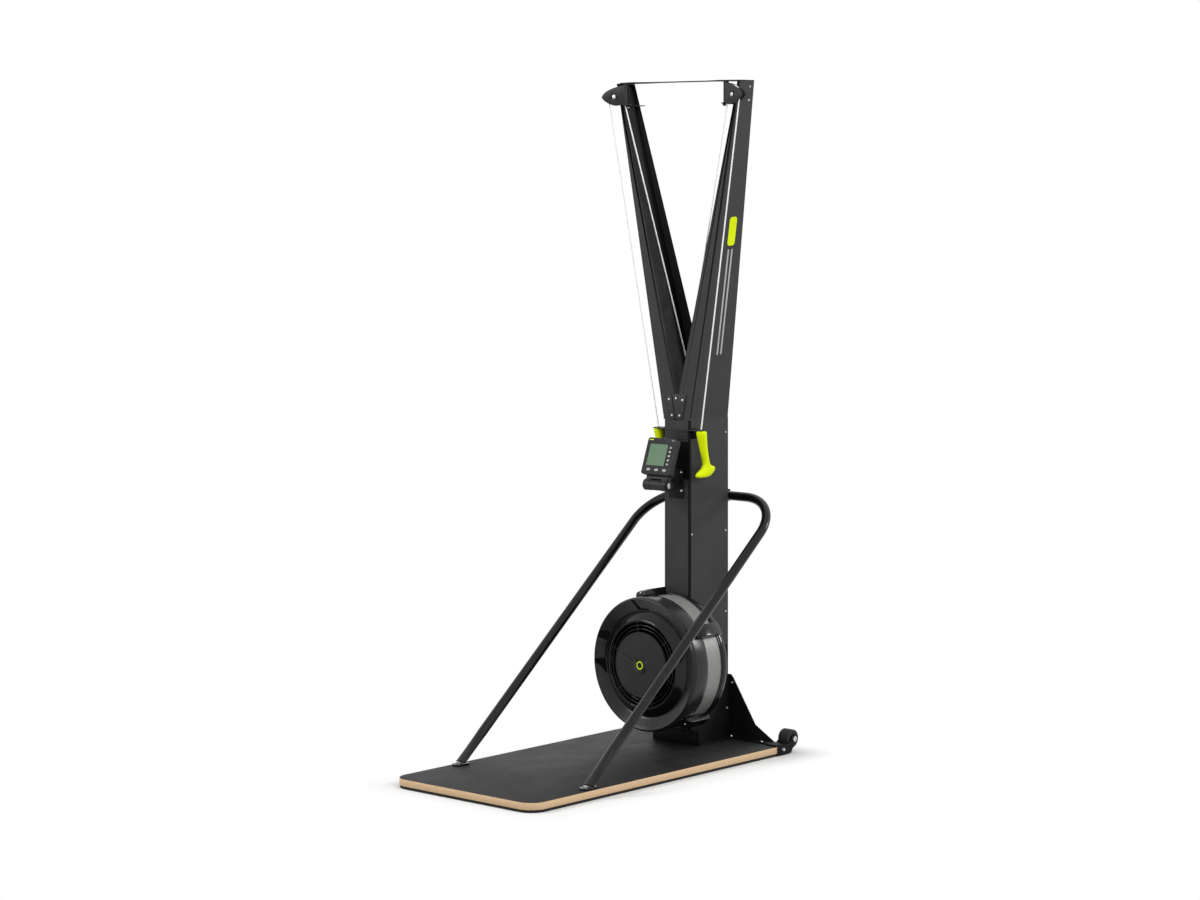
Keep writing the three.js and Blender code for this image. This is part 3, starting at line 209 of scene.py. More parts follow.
# Injection-moulded ABS with a fine spark-eroded grain: monitor, pulley brackets, middle disc
MOULDED_ABS = grained("grained_abs", "#212122", "#2a2a2a", 0.46, 0.9, 0.2, 0.18)
# The front of the housing is the same plastic with a silkier, slightly polished face
SILK_ABS = grained("silk_abs", "#1c1c1d", "#232323", 0.24, 1.4, 0.05, 0.25, patch_mm=110.0)
# Polished ABS on the rear shell, the clips, the pulleys and the cone round the grille
POLISHED_ABS = grained("polished_abs", "#0a0a0b", "#101011", 0.14, 3.0, 0.03, 0.25, coat=0.1)
# The same plastic left matt and black: painted shade in the gaps, the seam and the plate behind the
# monitor, and the hook's side tabs
MATT_ABS_AND_SHADE = grained("matt_abs_and_painted_shade", "#040404", "#080808", 0.7, 1.5, 0.2, 0.05)
# Vulcanised rubber on the transport rollers, and a closed foam under the board
ROLLER_RUBBER = grained("roller_rubber", "#202020", "#2c2c2c", 0.72, 1.2, 0.4)
UNDERLAY_FOAM = grained("underlay_foam", "#191919", "#262626", 0.9, 2.0, 0.6)
# Elastic return cord inside the mast
ELASTIC = grained("elastic_rubber", "#171717", "#222222", 0.8, 1.5, 0.4)
print("dark finishes:", len(bpy.data.materials))

# %% [markdown]
# The board is plywood pressed with a dark phenolic film. The film carries the print of a
# fine wire mesh, which grips a shoe and scatters light in specks. Modelling the print would
# take a million faces, so a bump from small round cells gives it, and two noises give the
# scuffs and specks of a board that has been stood on.

# %% Film on the board
FILM_MESH_MM = 2.2
SPECK_MM = 4.0

PHENOLIC_FILM = finish_named("phenolic_film")
place = out(add(PHENOLIC_FILM, "ShaderNodeTexCoord"), "Object")
mesh_print = add(PHENOLIC_FILM, "ShaderNodeTexVoronoi", {
    "Vector": place, "Scale": GRAINS_PER_METRE / FILM_MESH_MM}, feature="F1")
scuff = add(PHENOLIC_FILM, "ShaderNodeTexNoise", {
    "Vector": place, "Scale": 9.0, "Detail": 6.0, "Roughness": 0.7})
speck = add(PHENOLIC_FILM, "ShaderNodeTexNoise", {
    "Vector": place, "Scale": GRAINS_PER_METRE / SPECK_MM, "Detail": 3.0, "Roughness": 0.7})
shade = add(PHENOLIC_FILM, "ShaderNodeMath", {0: out(scuff), 1: out(speck)}, operation="MULTIPLY")
level = add(PHENOLIC_FILM, "ShaderNodeMapRange", {
    "Value": out(shade), "From Min": 0.14, "From Max": 0.4})
film_colour = add(PHENOLIC_FILM, "ShaderNodeMix", {
    "Factor": out(level), "A": linear("#111111"), "B": linear("#242322")}, data_type="RGBA")
film_gloss = add(PHENOLIC_FILM, "ShaderNodeMapRange", {
    "Value": out(scuff), "From Min": 0.3, "From Max": 0.7, "To Min": 0.5, "To Max": 0.66})
film_relief = add(PHENOLIC_FILM, "ShaderNodeBump", {
    "Height": out(mesh_print, "Distance"), "Strength": 0.35, "Distance": 0.0006})
shade_with(PHENOLIC_FILM, add(PHENOLIC_FILM, "ShaderNodeBsdfPrincipled", {
    "Base Color": out(film_colour), "Roughness": out(film_gloss), "Normal": out(film_relief),
    "Specular IOR Level": 0.2}))
print("film made")

# %% [markdown]
# The bare edge shows the plies: long grain, then end grain, about a millimetre and a half
# each, under a thin oil. Stripes painted by hand would not meet at the round corners. The
# pattern reads the height for its plies instead, so they run level all the way round, and
# its fibres are a noise stretched along them.

# %% Plywood edge
PLY_PAIR_MM = 3.1
FIBRE_MM = 1.1
FIBRE_STRETCH = 0.06

PLYWOOD_EDGE = finish_named("beech_plywood_edge")
place = out(add(PLYWOOD_EDGE, "ShaderNodeTexCoord"), "Object")
stretch = add(PLYWOOD_EDGE, "ShaderNodeMapping", {
    "Vector": place, "Scale": (FIBRE_STRETCH, FIBRE_STRETCH, 1.0)})
fibre = add(PLYWOOD_EDGE, "ShaderNodeTexNoise", {
    "Vector": out(stretch), "Scale": GRAINS_PER_METRE / FIBRE_MM, "Detail": 5.0, "Roughness": 0.6})
height = add(PLYWOOD_EDGE, "ShaderNodeSeparateXYZ", {"Vector": place})
plies = add(PLYWOOD_EDGE, "ShaderNodeMath", {
    0: out(height, "Z"), 1: 2 * math.pi * GRAINS_PER_METRE / PLY_PAIR_MM}, operation="MULTIPLY")
ply_wave = add(PLYWOOD_EDGE, "ShaderNodeMath", {0: out(plies)}, operation="SINE")
ply_band = add(PLYWOOD_EDGE, "ShaderNodeMapRange", {
    "Value": out(ply_wave), "From Min": -0.5, "From Max": 0.5})
ply_colour = add(PLYWOOD_EDGE, "ShaderNodeMix", {
    "Factor": out(ply_band), "A": linear("#c4a07a"), "B": linear("#d2b189")}, data_type="RGBA")
fibre_colour = add(PLYWOOD_EDGE, "ShaderNodeMapRange", {
    "Value": out(fibre), "From Min": 0.35, "From Max": 0.7})
wood_colour = add(PLYWOOD_EDGE, "ShaderNodeMix", {
    "Factor": out(fibre_colour), "A": out(ply_colour), "B": linear("#dcbf98")}, data_type="RGBA")
wood_relief = add(PLYWOOD_EDGE, "ShaderNodeBump", {
    "Height": out(fibre), "Strength": 0.25, "Distance": 0.0003})
shade_with(PLYWOOD_EDGE, add(PLYWOOD_EDGE, "ShaderNodeBsdfPrincipled", {
    "Base Color": out(wood_colour), "Roughness": 0.55, "Normal": out(wood_relief), "IOR": 1.5}))
print("plywood edge made")

# %% [markdown]
# Bare metals keep the default index of refraction and take their look from metallic,
# roughness and faint marks in the gloss. Screws are zinc plated, so they are pale with a
# trace of blue, and the guide rollers in the mast are turned steel. The same function makes
# the flywheel's casting further down.

# %% Metals
def bare_metal(name, colour, tint, roughness, mark_mm):
    """A plated or machined metal with fine marks in its gloss."""
    material = finish_named(name)
    place = out(add(material, "ShaderNodeTexCoord"), "Object")
    marks = add(material, "ShaderNodeTexNoise", {
        "Vector": place, "Scale": GRAINS_PER_METRE / mark_mm, "Detail": 3.0})
    colours = add(material, "ShaderNodeMix", {
        "Factor": out(marks), "A": linear(colour), "B": linear(tint)}, data_type="RGBA")
    gloss = add(material, "ShaderNodeMapRange", {
        "Value": out(marks), "To Min": roughness - 0.08, "To Max": roughness + 0.1})
    relief = add(material, "ShaderNodeBump", {
        "Height": out(marks), "Strength": 0.15, "Distance": mark_mm * MM * 0.2})
    return shade_with(material, add(material, "ShaderNodeBsdfPrincipled", {
        "Base Color": out(colours), "Metallic": 1.0, "Roughness": out(gloss),
        "Normal": out(relief)}))


ZINC_PLATE = bare_metal("zinc_plated_steel", "#c9cac8", "#aeb1b4", 0.34, 2.0)
TURNED_STEEL = bare_metal("turned_steel", "#8f9092", "#a9a9a8", 0.3, 1.0)
print("metals made")

# %% [markdown]
# The handles are moulded in a lime thermoplastic rubber, matt and a little translucent. A
# trace of subsurface light softens the shaded side, which a plain coloured plastic would
# leave hard, and a low specular level keeps the lime from turning white.

# %% Lime grip
LIME_GRIP = finish_named("lime_soft_grip")
place = out(add(LIME_GRIP, "ShaderNodeTexCoord"), "Object")
grip_grain = add(LIME_GRIP, "ShaderNodeTexNoise", {
    "Vector": place, "Scale": GRAINS_PER_METRE / 1.5, "Detail": 3.0})
grip_patch = add(LIME_GRIP, "ShaderNodeTexNoise", {"Vector": place, "Scale": 30.0, "Detail": 3.0})
grip_colour = add(LIME_GRIP, "ShaderNodeMix", {
    "Factor": out(grip_patch), "A": linear("#d2e602"), "B": linear("#def008")}, data_type="RGBA")
grip_relief = add(LIME_GRIP, "ShaderNodeBump", {
    "Height": out(grip_grain), "Strength": 0.3, "Distance": 0.0004})
shade_with(LIME_GRIP, add(LIME_GRIP, "ShaderNodeBsdfPrincipled", {
    "Base Color": out(grip_colour), "Roughness": 0.52, "Normal": out(grip_relief),
    "IOR": 1.5, "Specular IOR Level": 0.12, "Subsurface Weight": 0.05,
    "Subsurface Radius": (0.004, 0.005, 0.001)}))
print("lime grip made")

# %% [markdown]
# The cords are braided polyester over a straight core, off-white with a warm cast. Modelling
# each strand would be far too heavy for a line this thin. The strands cross every few
# millimetres, so two waves that slant opposite ways on the cord's own map draw the braid.

# %% Braided cord
BRAID_PITCH_MM = 5.0
STRANDS_EACH_WAY = 4
BRAIDED_CORD = finish_named("braided_polyester_cord")
lay = add(BRAIDED_CORD, "ShaderNodeUVMap", uv_map="cord_lay")
lay_parts = add(BRAIDED_CORD, "ShaderNodeSeparateXYZ", {"Vector": out(lay)})
waves = []
for sign in (1, -1):
    turn = add(BRAIDED_CORD, "ShaderNodeMath", {
        0: out(lay_parts, "X"), 1: sign * 2 * math.pi * STRANDS_EACH_WAY},
        operation="MULTIPLY")
    slide = add(BRAIDED_CORD, "ShaderNodeMath", {
        0: out(lay_parts, "Y"), 1: 2 * math.pi / BRAID_PITCH_MM, 2: out(turn)},
        operation="MULTIPLY_ADD")
    waves.append(out(add(BRAIDED_CORD, "ShaderNodeMath", {0: out(slide)}, operation="SINE")))
strands = add(BRAIDED_CORD, "ShaderNodeMath", {0: waves[0], 1: waves[1]}, operation="MAXIMUM")
strand_level = add(BRAIDED_CORD, "ShaderNodeMapRange", {
    "Value": out(strands), "From Min": -0.2, "From Max": 1.0})
cord_colour = add(BRAIDED_CORD, "ShaderNodeMix", {
    "Factor": out(strand_level), "A": linear("#e6deda"), "B": linear("#fffdfb")}, data_type="RGBA")
cord_relief = add(BRAIDED_CORD, "ShaderNodeBump", {
    "Height": out(strand_level), "Strength": 0.3, "Distance": 0.0004})
shade_with(BRAIDED_CORD, add(BRAIDED_CORD, "ShaderNodeBsdfPrincipled", {
    "Base Color": out(cord_colour), "Roughness": 0.8, "Normal": out(cord_relief),
    "Sheen Weight": 0.3, "Sheen Roughness": 0.5}))
print("braid made")

# %% [markdown]
# The screen is a reflective liquid crystal display that is switched off, so it shows an even
# grey green. A glass pane over it would mirror the lamps as a white sheet, so the display is
# one surface, fairly rough, with a slow change of tone across it.

# %% Display
SCREEN_GLASS = finish_named("display_glass")
place = out(add(SCREEN_GLASS, "ShaderNodeTexCoord"), "Object")
tone = add(SCREEN_GLASS, "ShaderNodeTexNoise", {"Vector": place, "Scale": 14.0, "Detail": 2.0})
glass_colour = add(SCREEN_GLASS, "ShaderNodeMix", {
    "Factor": out(tone), "A": linear("#4e6c51"), "B": linear("#59775b")}, data_type="RGBA")
shade_with(SCREEN_GLASS, add(SCREEN_GLASS, "ShaderNodeBsdfPrincipled", {
    "Base Color": out(glass_colour), "Roughness": 0.45, "Specular IOR Level": 0.2}))
print("display made")

# %% [markdown]
# The grey band round the flywheel is sheet steel punched with small round holes. There are
# thousands, so they are a pattern and not a shape: cells in a square grid on the band's own
# map, dark inside and dented by a bump.

# %% Perforated steel
HOLE_PITCH_MM = 3.6
PERFORATED_STEEL = finish_named("perforated_steel_band")
sheet_map = add(PERFORATED_STEEL, "ShaderNodeUVMap", uv_map="sheet")
holes = add(PERFORATED_STEEL, "ShaderNodeTexVoronoi", {
    "Vector": out(sheet_map), "Scale": 1 / HOLE_PITCH_MM, "Randomness": 0.0}, feature="F1")
hole_level = add(PERFORATED_STEEL, "ShaderNodeMapRange", {
    "Value": out(holes, "Distance"), "From Min": 0.2, "From Max": 0.3})
sheet_colour = add(PERFORATED_STEEL, "ShaderNodeMix", {
    "Factor": out(hole_level), "A": linear("#3a3a3a"), "B": linear("#8f8f8d")}, data_type="RGBA")
sheet_relief = add(PERFORATED_STEEL, "ShaderNodeBump", {
    "Height": out(hole_level), "Strength": 0.5, "Distance": 0.0005})
shade_with(PERFORATED_STEEL, add(PERFORATED_STEEL, "ShaderNodeBsdfPrincipled", {
    "Base Color": out(sheet_colour), "Roughness": 0.42, "Metallic": 0.35,
    "Normal": out(sheet_relief)}))
print("materials:", len(bpy.data.materials))

# %% [markdown]
# The machine stands in a white studio. The world lights it more from above than from below,
# as a lit room over a floor does. Seen directly, or in a reflection, the world is plain
# white, which the light path node sorts out.

# %% World
WORLD_LEVEL = 0.72
GROUND_LEVEL = 0.3

world = bpy.data.worlds.new("studio")
bpy.context.scene.world = world
world.use_nodes = True
world.node_tree.nodes.clear()
rays = add(world, "ShaderNodeLightPath")
seen = add(world, "ShaderNodeMath", {0: out(rays, "Is Camera Ray"), 1: out(rays, "Is Glossy Ray")},
           operation="MAXIMUM")
seen = add(world, "ShaderNodeMath", {0: out(seen), 1: out(rays, "Is Transmission Ray")},
           operation="MAXIMUM")
view_ray = out(add(world, "ShaderNodeTexCoord"), "Generated")
toward = add(world, "ShaderNodeSeparateXYZ", {"Vector": view_ray})
sky = add(world, "ShaderNodeMapRange", {
    "Value": out(toward, "Z"), "From Min": -0.1, "From Max": 1.0,
    "To Min": GROUND_LEVEL, "To Max": 2 * WORLD_LEVEL - GROUND_LEVEL})
lit = add(world, "ShaderNodeBackground", {"Color": (1, 1, 1, 1), "Strength": out(sky, "Result")})
white = add(world, "ShaderNodeBackground", {"Color": (1, 1, 1, 1), "Strength": 1.0})
world_mix = add(world, "ShaderNodeMixShader", {0: out(seen), 1: out(lit), 2: out(white)})
add(world, "ShaderNodeOutputWorld", {"Surface": out(world_mix)})
print("world made")

# %% [markdown]
# The floor is a white disc that takes the machine's shadow. A disc alone would end in a
# horizon, so it fades into the white of the world 14 centimetres from the board. The fade
# measures how far a point lies outside the board's rectangle, in metres.

# %% Studio floor
FLOOR_RADIUS = 9.0
HALF_BOARD = (0.3, 0.6, 0.0)
FADE_START = 0.0
FADE_END = 0.14

STUDIO_FLOOR = finish_named("studio_floor")
place = out(add(STUDIO_FLOOR, "ShaderNodeTexCoord"), "Object")
reach = add(STUDIO_FLOOR, "ShaderNodeVectorMath", {0: place}, operation="ABSOLUTE")
reach = add(STUDIO_FLOOR, "ShaderNodeVectorMath", {0: out(reach), 1: HALF_BOARD}, operation="SUBTRACT")
reach = add(STUDIO_FLOOR, "ShaderNodeVectorMath", {0: out(reach), 1: (0, 0, 0)}, operation="MAXIMUM")
reach = add(STUDIO_FLOOR, "ShaderNodeVectorMath", {0: out(reach)}, operation="LENGTH")
fade = add(STUDIO_FLOOR, "ShaderNodeMapRange", {
    "Value": out(reach, "Value"), "From Min": FADE_START, "From Max": FADE_END},
    interpolation_type="SMOOTHSTEP")
floor_rays = add(STUDIO_FLOOR, "ShaderNodeLightPath")
bounced = add(STUDIO_FLOOR, "ShaderNodeMapRange", {
    "Value": out(floor_rays, "Is Diffuse Ray"), "To Min": 1.0, "To Max": GROUND_LEVEL})
floor_tone = add(STUDIO_FLOOR, "ShaderNodeMix", {
    "Factor": out(floor_rays, "Is Diffuse Ray"), "A": linear("#d4d4d4"), "B": linear("#8c8c8c")},
    data_type="RGBA")
matt = add(STUDIO_FLOOR, "ShaderNodeBsdfDiffuse", {"Color": out(floor_tone)})
glow = add(STUDIO_FLOOR, "ShaderNodeEmission", {
    "Color": (1, 1, 1, 1), "Strength": out(bounced, "Result")})
shade_with(STUDIO_FLOOR, add(STUDIO_FLOOR, "ShaderNodeMixShader", {
    0: out(fade), 1: out(matt), 2: out(glow)}))

bm = bmesh.new()
bmesh.ops.create_circle(bm, cap_ends=True, segments=96, radius=FLOOR_RADIUS)
floor_mesh = bpy.data.meshes.new("studio_floor")
bm.to_mesh(floor_mesh)
bm.free()
floor_mesh.materials.append(STUDIO_FLOOR)
studio_floor = bpy.data.objects.new("studio_floor", floor_mesh)
bpy.context.scene.collection.objects.link(studio_floor)
print("floor radius", FLOOR_RADIUS, "m")

# %% [markdown]
# Three square soft boxes give the tubes and mouldings their long highlights: a large key at
# the left, one at the right that lights the mast's side, and a small one from behind for
# the rims. Point lamps would give hard sparks on the polished plastic.

# %% Lamps
def soft_lamp(name, place, aim, size, watts):
    """A square soft box that looks at a point."""
    lamp = bpy.data.lights.new(name, "AREA")
    lamp.size = size
    lamp.energy = watts
    box = bpy.data.objects.new(name, lamp)
    box.location = place
    box.rotation_euler = (Vector(aim) - Vector(place)).to_track_quat("-Z", "Y").to_euler()
    bpy.context.scene.collection.objects.link(box)


soft_lamp("key_softbox", (-3.4, -4.4, 4.4), (0, 0, 0.9), 2.2, 210)
soft_lamp("side_softbox", (4.6, -1.4, 3.2), (0, 0.2, 0.9), 1.6, 130)
soft_lamp("rim_softbox", (3.4, 4.6, 2.6), (0, 0.2, 0.9), 1.0, 60)
bpy.context.scene.view_settings.view_transform = "Standard"
print("lamps:", len(bpy.data.lights))

# %% [markdown]
# Every piece starts as a bmesh and ends the same way: its flat faces stay flat and its bends
# are smooth, it names its finish, and it rides on the CAD body it belongs to when it is given
# one. One function does that for all of them.


def bake(bm, name, body, materials, stands_for=(), sharp=32):
    """Turns a bmesh into a piece that may ride on a body and may stand for CAD nodes."""
    mesh = bpy.data.meshes.new(name)
    bm.to_mesh(mesh)
    bm.free()
    for material in materials:
        mesh.materials.append(material)
    mesh.shade_smooth()
    mesh.set_sharp_from_angle(angle=math.radians(sharp))
    made = bpy.data.objects.new(name, mesh)
    bpy.context.scene.collection.objects.link(made)
    if body:
        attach(made, body)
    if stands_for:
        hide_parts(*stands_for)
    return made


def face_of(node, axis, end):
    """Where a node's box ends along an axis, in millimetres: end 0 is low, 1 is high."""
    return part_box(node)[end][axis] / MM

# %% [markdown]
# Blender works in metres and the machine is measured in millimetres. These helpers take
# millimetres and do the small moves that every piece needs, so that the cells below show
# the making and not the arithmetic. The editor's own move and rotate tools do the same.

# %% Moving, joining and picking
def moved(bm, x=0.0, y=0.0, z=0.0, verts=None):
    """Shifts a shape, or some of its corners, by millimetres."""
    bmesh.ops.translate(bm, verts=verts or bm.verts, vec=(x * MM, y * MM, z * MM))


def turned(bm, angle, axis, verts=None):
    """Turns a shape, or some of its corners, about an axis through the origin."""
    bmesh.ops.rotate(bm, cent=(0, 0, 0), matrix=Matrix.Rotation(angle, 3, axis), verts=verts or bm.verts)


def points_in(made):
    """The corners among what an operator has made."""
    return [item for item in made["geom"] if isinstance(item, bmesh.types.BMVert)]


def edges_in(made, points):
    """The edges among what an operator has made that join two of the points."""
    edges = [item for item in made["geom"] if isinstance(item, bmesh.types.BMEdge)]
    return [e for e in edges if e.verts[0] in points and e.verts[1] in points]


def merged(*parts):
    """Several shapes in one mesh."""
    bm = bmesh.new()
    for part in parts:
        loose = bpy.data.meshes.new("part")
        part.to_mesh(loose)
        part.free()
        bm.from_mesh(loose)
        bpy.data.meshes.remove(loose)
    return bm


def mirrored(bm):
    """The same shape on the other side of the machine."""
    other = bm.copy()
    bmesh.ops.scale(other, vec=(-1, 1, 1), verts=other.verts)
    bmesh.ops.reverse_faces(other, faces=other.faces)
    return other

print("small helpers ready")

# %% [markdown]
# Real edges are never knife sharp, so each plate and moulding gets a small bevel, which
# catches a thin line of light. A Bevel modifier could do it live. The operator is used here
# because some pieces bevel only the edges of one shape among several.

# %% Bevels
def bevelled(bm, edges, width_mm, segments, clamp=False):
    """Rounds edges by a width in millimetres."""
    bmesh.ops.bevel(bm, geom=edges, offset=width_mm * MM, offset_type="OFFSET", segments=segments,
                    profile=0.5, affect="EDGES", clamp_overlap=clamp, material=-1)


def soften(bm, width_mm, segments=2, angle=30):
    """Bevels the edges that turn by more than an angle."""
    edges = [e for e in bm.edges if e.is_manifold and e.calc_face_angle(0) > math.radians(angle)]
    bevelled(bm, edges, width_mm, segments, clamp=True)

print("bevels ready")

# %% [markdown]
# Much of the machine is round: the housing, the disc, the rollers. On a lathe such a part is
# cut from one outline, and spin does the same. The outline is given as radius and Y, and
# points on the axis are joined so that the middle closes.

# %% Turned shapes
ROUND_STEPS = 120


def spun(profile, x=0.0, z=0.0, steps=ROUND_STEPS):
    """A solid turned about an axis along Y from [radius, y] corners in millimetres."""
    bm = bmesh.new()
    ring = [bm.verts.new((r * MM, y * MM, 0)) for r, y in profile]
    pairs = [(a, b) for a, b in zip(ring, ring[1:] + ring[:1]) if a.co.x > 0 or b.co.x > 0]
    edges = [bm.edges.new(pair) for pair in pairs]
    bmesh.ops.spin(bm, geom=ring + edges, cent=(0, 0, 0), axis=(0, 1, 0), angle=2 * math.pi,
                   steps=steps, use_merge=True)
    bmesh.ops.remove_doubles(bm, verts=bm.verts, dist=1e-7)
    bmesh.ops.recalc_face_normals(bm, faces=bm.faces)
    moved(bm, x=x, z=z)
    return bm

print("turned shapes use", ROUND_STEPS, "steps")

# %% [markdown]
# Folded steel, brackets and plates have the right shape in the CAD model already. A CAD mesh
# is loose triangles, so a copy is merged and its flat faces are joined before the bevel. The
# rounded front folds of the mast and arms lie in shade, and so do the arms' inner faces. Those
# faces take the black coat as painted shade, which their normals pick out.

# %% Dressed copies of CAD nodes
FOLD_WIDTH_MM = 7
FOLD_LENGTH_MM = 40


def is_long_fold(edge):
    """True for a long outer edge between a front face and a side face."""
    if len(edge.link_faces) != 2 or not edge.is_convex or edge.calc_length() <= FOLD_LENGTH_MM * MM:
        return False
    normals = [face.normal for face in edge.link_faces]
    return min(n.y for n in normals) < -0.9 and max(abs(n.x) for n in normals) > 0.9


def paint_fold_shade(bm, has_side):
    """Paints shade on the front folds, and on an arm's inner faces, with the second finish."""
    inward = -math.copysign(1, sum(v.co.x for v in bm.verts)) if has_side else 0
    if has_side:
        bevelled(bm, [e for e in bm.edges if is_long_fold(e)], FOLD_WIDTH_MM, 4)
        bm.normal_update()
    # Painted shade: fold faces and an arm's inward faces take material 1, the black coat.
    for face in bm.faces:
        on_fold = face.normal.y < -0.25 and abs(face.normal.x) > 0.25
        if on_fold or face.normal.x * inward > 0.5:
            face.material_index = 1


def dressed(node, material, width_mm=0.8, segments=2, sharp=32, painted_fold_shade=False):
    """A merged and bevelled copy of a CAD node that stands for it."""
    bm = bmesh.new()
    bm.from_mesh(nodes[node].data)
    bmesh.ops.remove_doubles(bm, verts=bm.verts, dist=2e-6)
    bmesh.ops.dissolve_limit(bm, angle_limit=math.radians(0.8), verts=bm.verts, edges=bm.edges)
    # Painted shade on the folds and inner faces, when it is asked for.
    if painted_fold_shade:
        paint_fold_shade(bm, node.endswith(("_left", "_right")))
    if width_mm:
        soften(bm, width_mm, segments)
    finishes = [material, BLACK_COAT_AND_SHADE] if painted_fold_shade else [material]
    piece = bake(bm, node + "_dressed", nodes[node]["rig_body"], finishes, [node], sharp)
    if painted_fold_shade:
        flat = piece.modifiers.new("flat_faces", "WEIGHTED_NORMAL")
        flat.keep_sharp = True
    return piece

print("CAD nodes:", len(nodes))

# %% [markdown]
# Now the plates are dressed, each in its own coat and with a bevel as wide as its real edge
# would have. The table lists them by name, so a plate can be repainted in one place. Pieces
# that come in twos are listed once and get both their names from a loop.

# %% Plates and brackets
PLATES = {
    "mast_column": (POWDER_COAT, 0.8), "mast_back_panel": (POWDER_COAT, 0.5),
    "mast_splice": (BLACK_COAT_AND_SHADE, 0.5), "gusset_plate": (POWDER_COAT, 0.6),
    "top_strap": (BLACK_COAT_AND_SHADE, 0.5), "handle_hook": (POWDER_COAT, 0.5),
    "rear_base_plate": (BLACK_COAT_AND_SHADE, 0.7), "mast_shoe": (BLACK_COAT_AND_SHADE, 0.8),
    "monitor_bracket": (BLACK_COAT_AND_SHADE, 0.5),
}
PAIRS = {
    "arm": (POWDER_COAT, 0.5), "pivot_lug": (BLACK_COAT_AND_SHADE, 0.4), "pulley_bracket": (MOULDED_ABS, 0.4),
    "roller_bracket": (BLACK_COAT_AND_SHADE, 0.5), "pivot_bolt": (BLACK_COAT_AND_SHADE, 0.4),
    "pulley_axle": (ZINC_PLATE, 0.5),
}
# Pieces whose front folds, and for the arms inner faces, get painted shade.
FOLDED = ("mast_column", "arm_left", "arm_right")
for side in SIDES:
    PLATES.update({f"{name}_{side}": look for name, look in PAIRS.items()})
for name, (material, width) in PLATES.items():
    dressed(name, material, width, painted_fold_shade=name in FOLDED)
print("plates dressed:", len(PLATES))

# %% [markdown]
# The board: a sheet of plywood with round front corners, film on both faces and a bare
# edge with a small chamfer. A quarter circle of points at each front corner gives the
# outline, and one extrusion gives the thickness. A bevelled cube would round all four
# corners alike. Faces that point sideways take the wood, the others the film.

# %% Board and underlay
low, high = (Vector(corner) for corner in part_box("base_board"))
CORNER_MM = 55
CORNER_STEPS = 14
BOARD_CHAMFER_MM = 1.4


def sheet_with_round_front(low, high, corner, steps):
    """A flat sheet whose two -Y corners are round, extruded to its thickness."""
    bm = bmesh.new()
    corners = []
    for side, start in ((-1, math.pi), (1, 1.5 * math.pi)):
        middle = Vector((high.x - corner if side > 0 else low.x + corner, low.y + corner, low.z))
        for i in range(steps + 1):
            angle = start + i / steps * math.pi / 2
            corners.append(bm.verts.new(middle + corner * Vector((math.cos(angle), math.sin(angle), 0))))
    corners.append(bm.verts.new((high.x, high.y, low.z)))
    corners.append(bm.verts.new((low.x, high.y, low.z)))
    base = bm.faces.new(corners)
    grown = bmesh.ops.extrude_face_region(bm, geom=[base])
    bmesh.ops.translate(bm, verts=points_in(grown), vec=(0, 0, high.z - low.z))
    bmesh.ops.recalc_face_normals(bm, faces=bm.faces)
    return bm


bm = sheet_with_round_front(low, high, CORNER_MM * MM, CORNER_STEPS)
soften(bm, BOARD_CHAMFER_MM, 2, angle=60)
for face in bm.faces:
    face.material_index = 1 if abs(face.normal.z) < 0.75 else 0
bake(bm, "board", "frame", [PHENOLIC_FILM, PLYWOOD_EDGE], ["base_board"])
dressed("underlay", UNDERLAY_FOAM, 1.0)
print("board", round((high.x - low.x) / MM), "x", round((high.y - low.y) / MM), "mm")

# %% [markdown]
# The housing is the machine's face. Its front moulding is one turned ring: a lip that grips
# the perforated band, a rounded shoulder, a face dished to a crease, and a polished cone
# that rises to the grille. It is spun from one outline of radius and depth. Depths are counted
# forward from the front of the mast, as in the CAD model.

# %% Outline of the front moulding
WHEEL_Z = 300
MAST_FRONT = 364.5


def ahead(depth):
    """The Y of a point that lies this far in front of the mast, in millimetres."""
    return MAST_FRONT - depth


def at_depths(outline):
    """An outline of radius and depth, turned into radius and Y."""
    return [(radius, ahead(depth)) for radius, depth in outline]


BAND_INNER, BAND_OUTER = 206.1, 208.5
CONE_EDGE = 168
WINDOW_INNER, WINDOW_OUTER = 176, 205
TRACK_INNER, TRACK_OUTER = 187, 193
RIM_DEPTH, CREASE_DEPTH = 165.6, 150


def dished(radius):
    """Depth of the face, which falls inwards from the shoulder to the crease."""
    return CREASE_DEPTH + (RIM_DEPTH - CREASE_DEPTH) * (radius - CONE_EDGE) / (BAND_INNER - CONE_EDGE)


front_outline = [
    (BAND_INNER, 95), (BAND_OUTER, 95.3), (211.5, 95.6), (212.6, 108), (214, 122), (214, 150), (213.4, 157),
    (211.2, 162), (208.2, 165.2), (206.4, 165.9), (WINDOW_OUTER, dished(WINDOW_OUTER)),
    (TRACK_OUTER, dished(TRACK_OUTER)), (TRACK_INNER, dished(TRACK_INNER)),
    (WINDOW_INNER, dished(WINDOW_INNER)), (169.4, dished(169.4)),
    (CONE_EDGE + 0.3, 149.8), (CONE_EDGE - 0.2, 148.9), (CONE_EDGE - 0.7, 149.8),
    (165.5, 151.6), (155, 159.4), (145.5, 166.4), (142.8, 168.8), (141.2, 169.8),
    (139.6, 170), (139, 169), (139, 162), (142, 160), (166, 146.4), (173, 146.4), (207, 154),
    (211, 150), (211, 122), (BAND_INNER, 100),
]
print("outline of the front moulding has", len(front_outline), "corners")

# %% [markdown]
# The damper window is a shallow well at the upper left of the face, with a deeper track for
# the lever along its middle. A boolean would cut it, but it leaves ragged faces on a turned
# shape. The rings of faces are there already, so those that lie in the window are extruded
# and pushed back, then those in the track.

# %% Damper window
bm = spun(at_depths(front_outline), z=WHEEL_Z)


def polar(point):
    """Radius in millimetres and angle in degrees of a point about the wheel's axis."""
    x, z = point.x / MM, point.z / MM - WHEEL_Z
    return math.hypot(x, z), math.degrees(math.atan2(z, x)) % 360


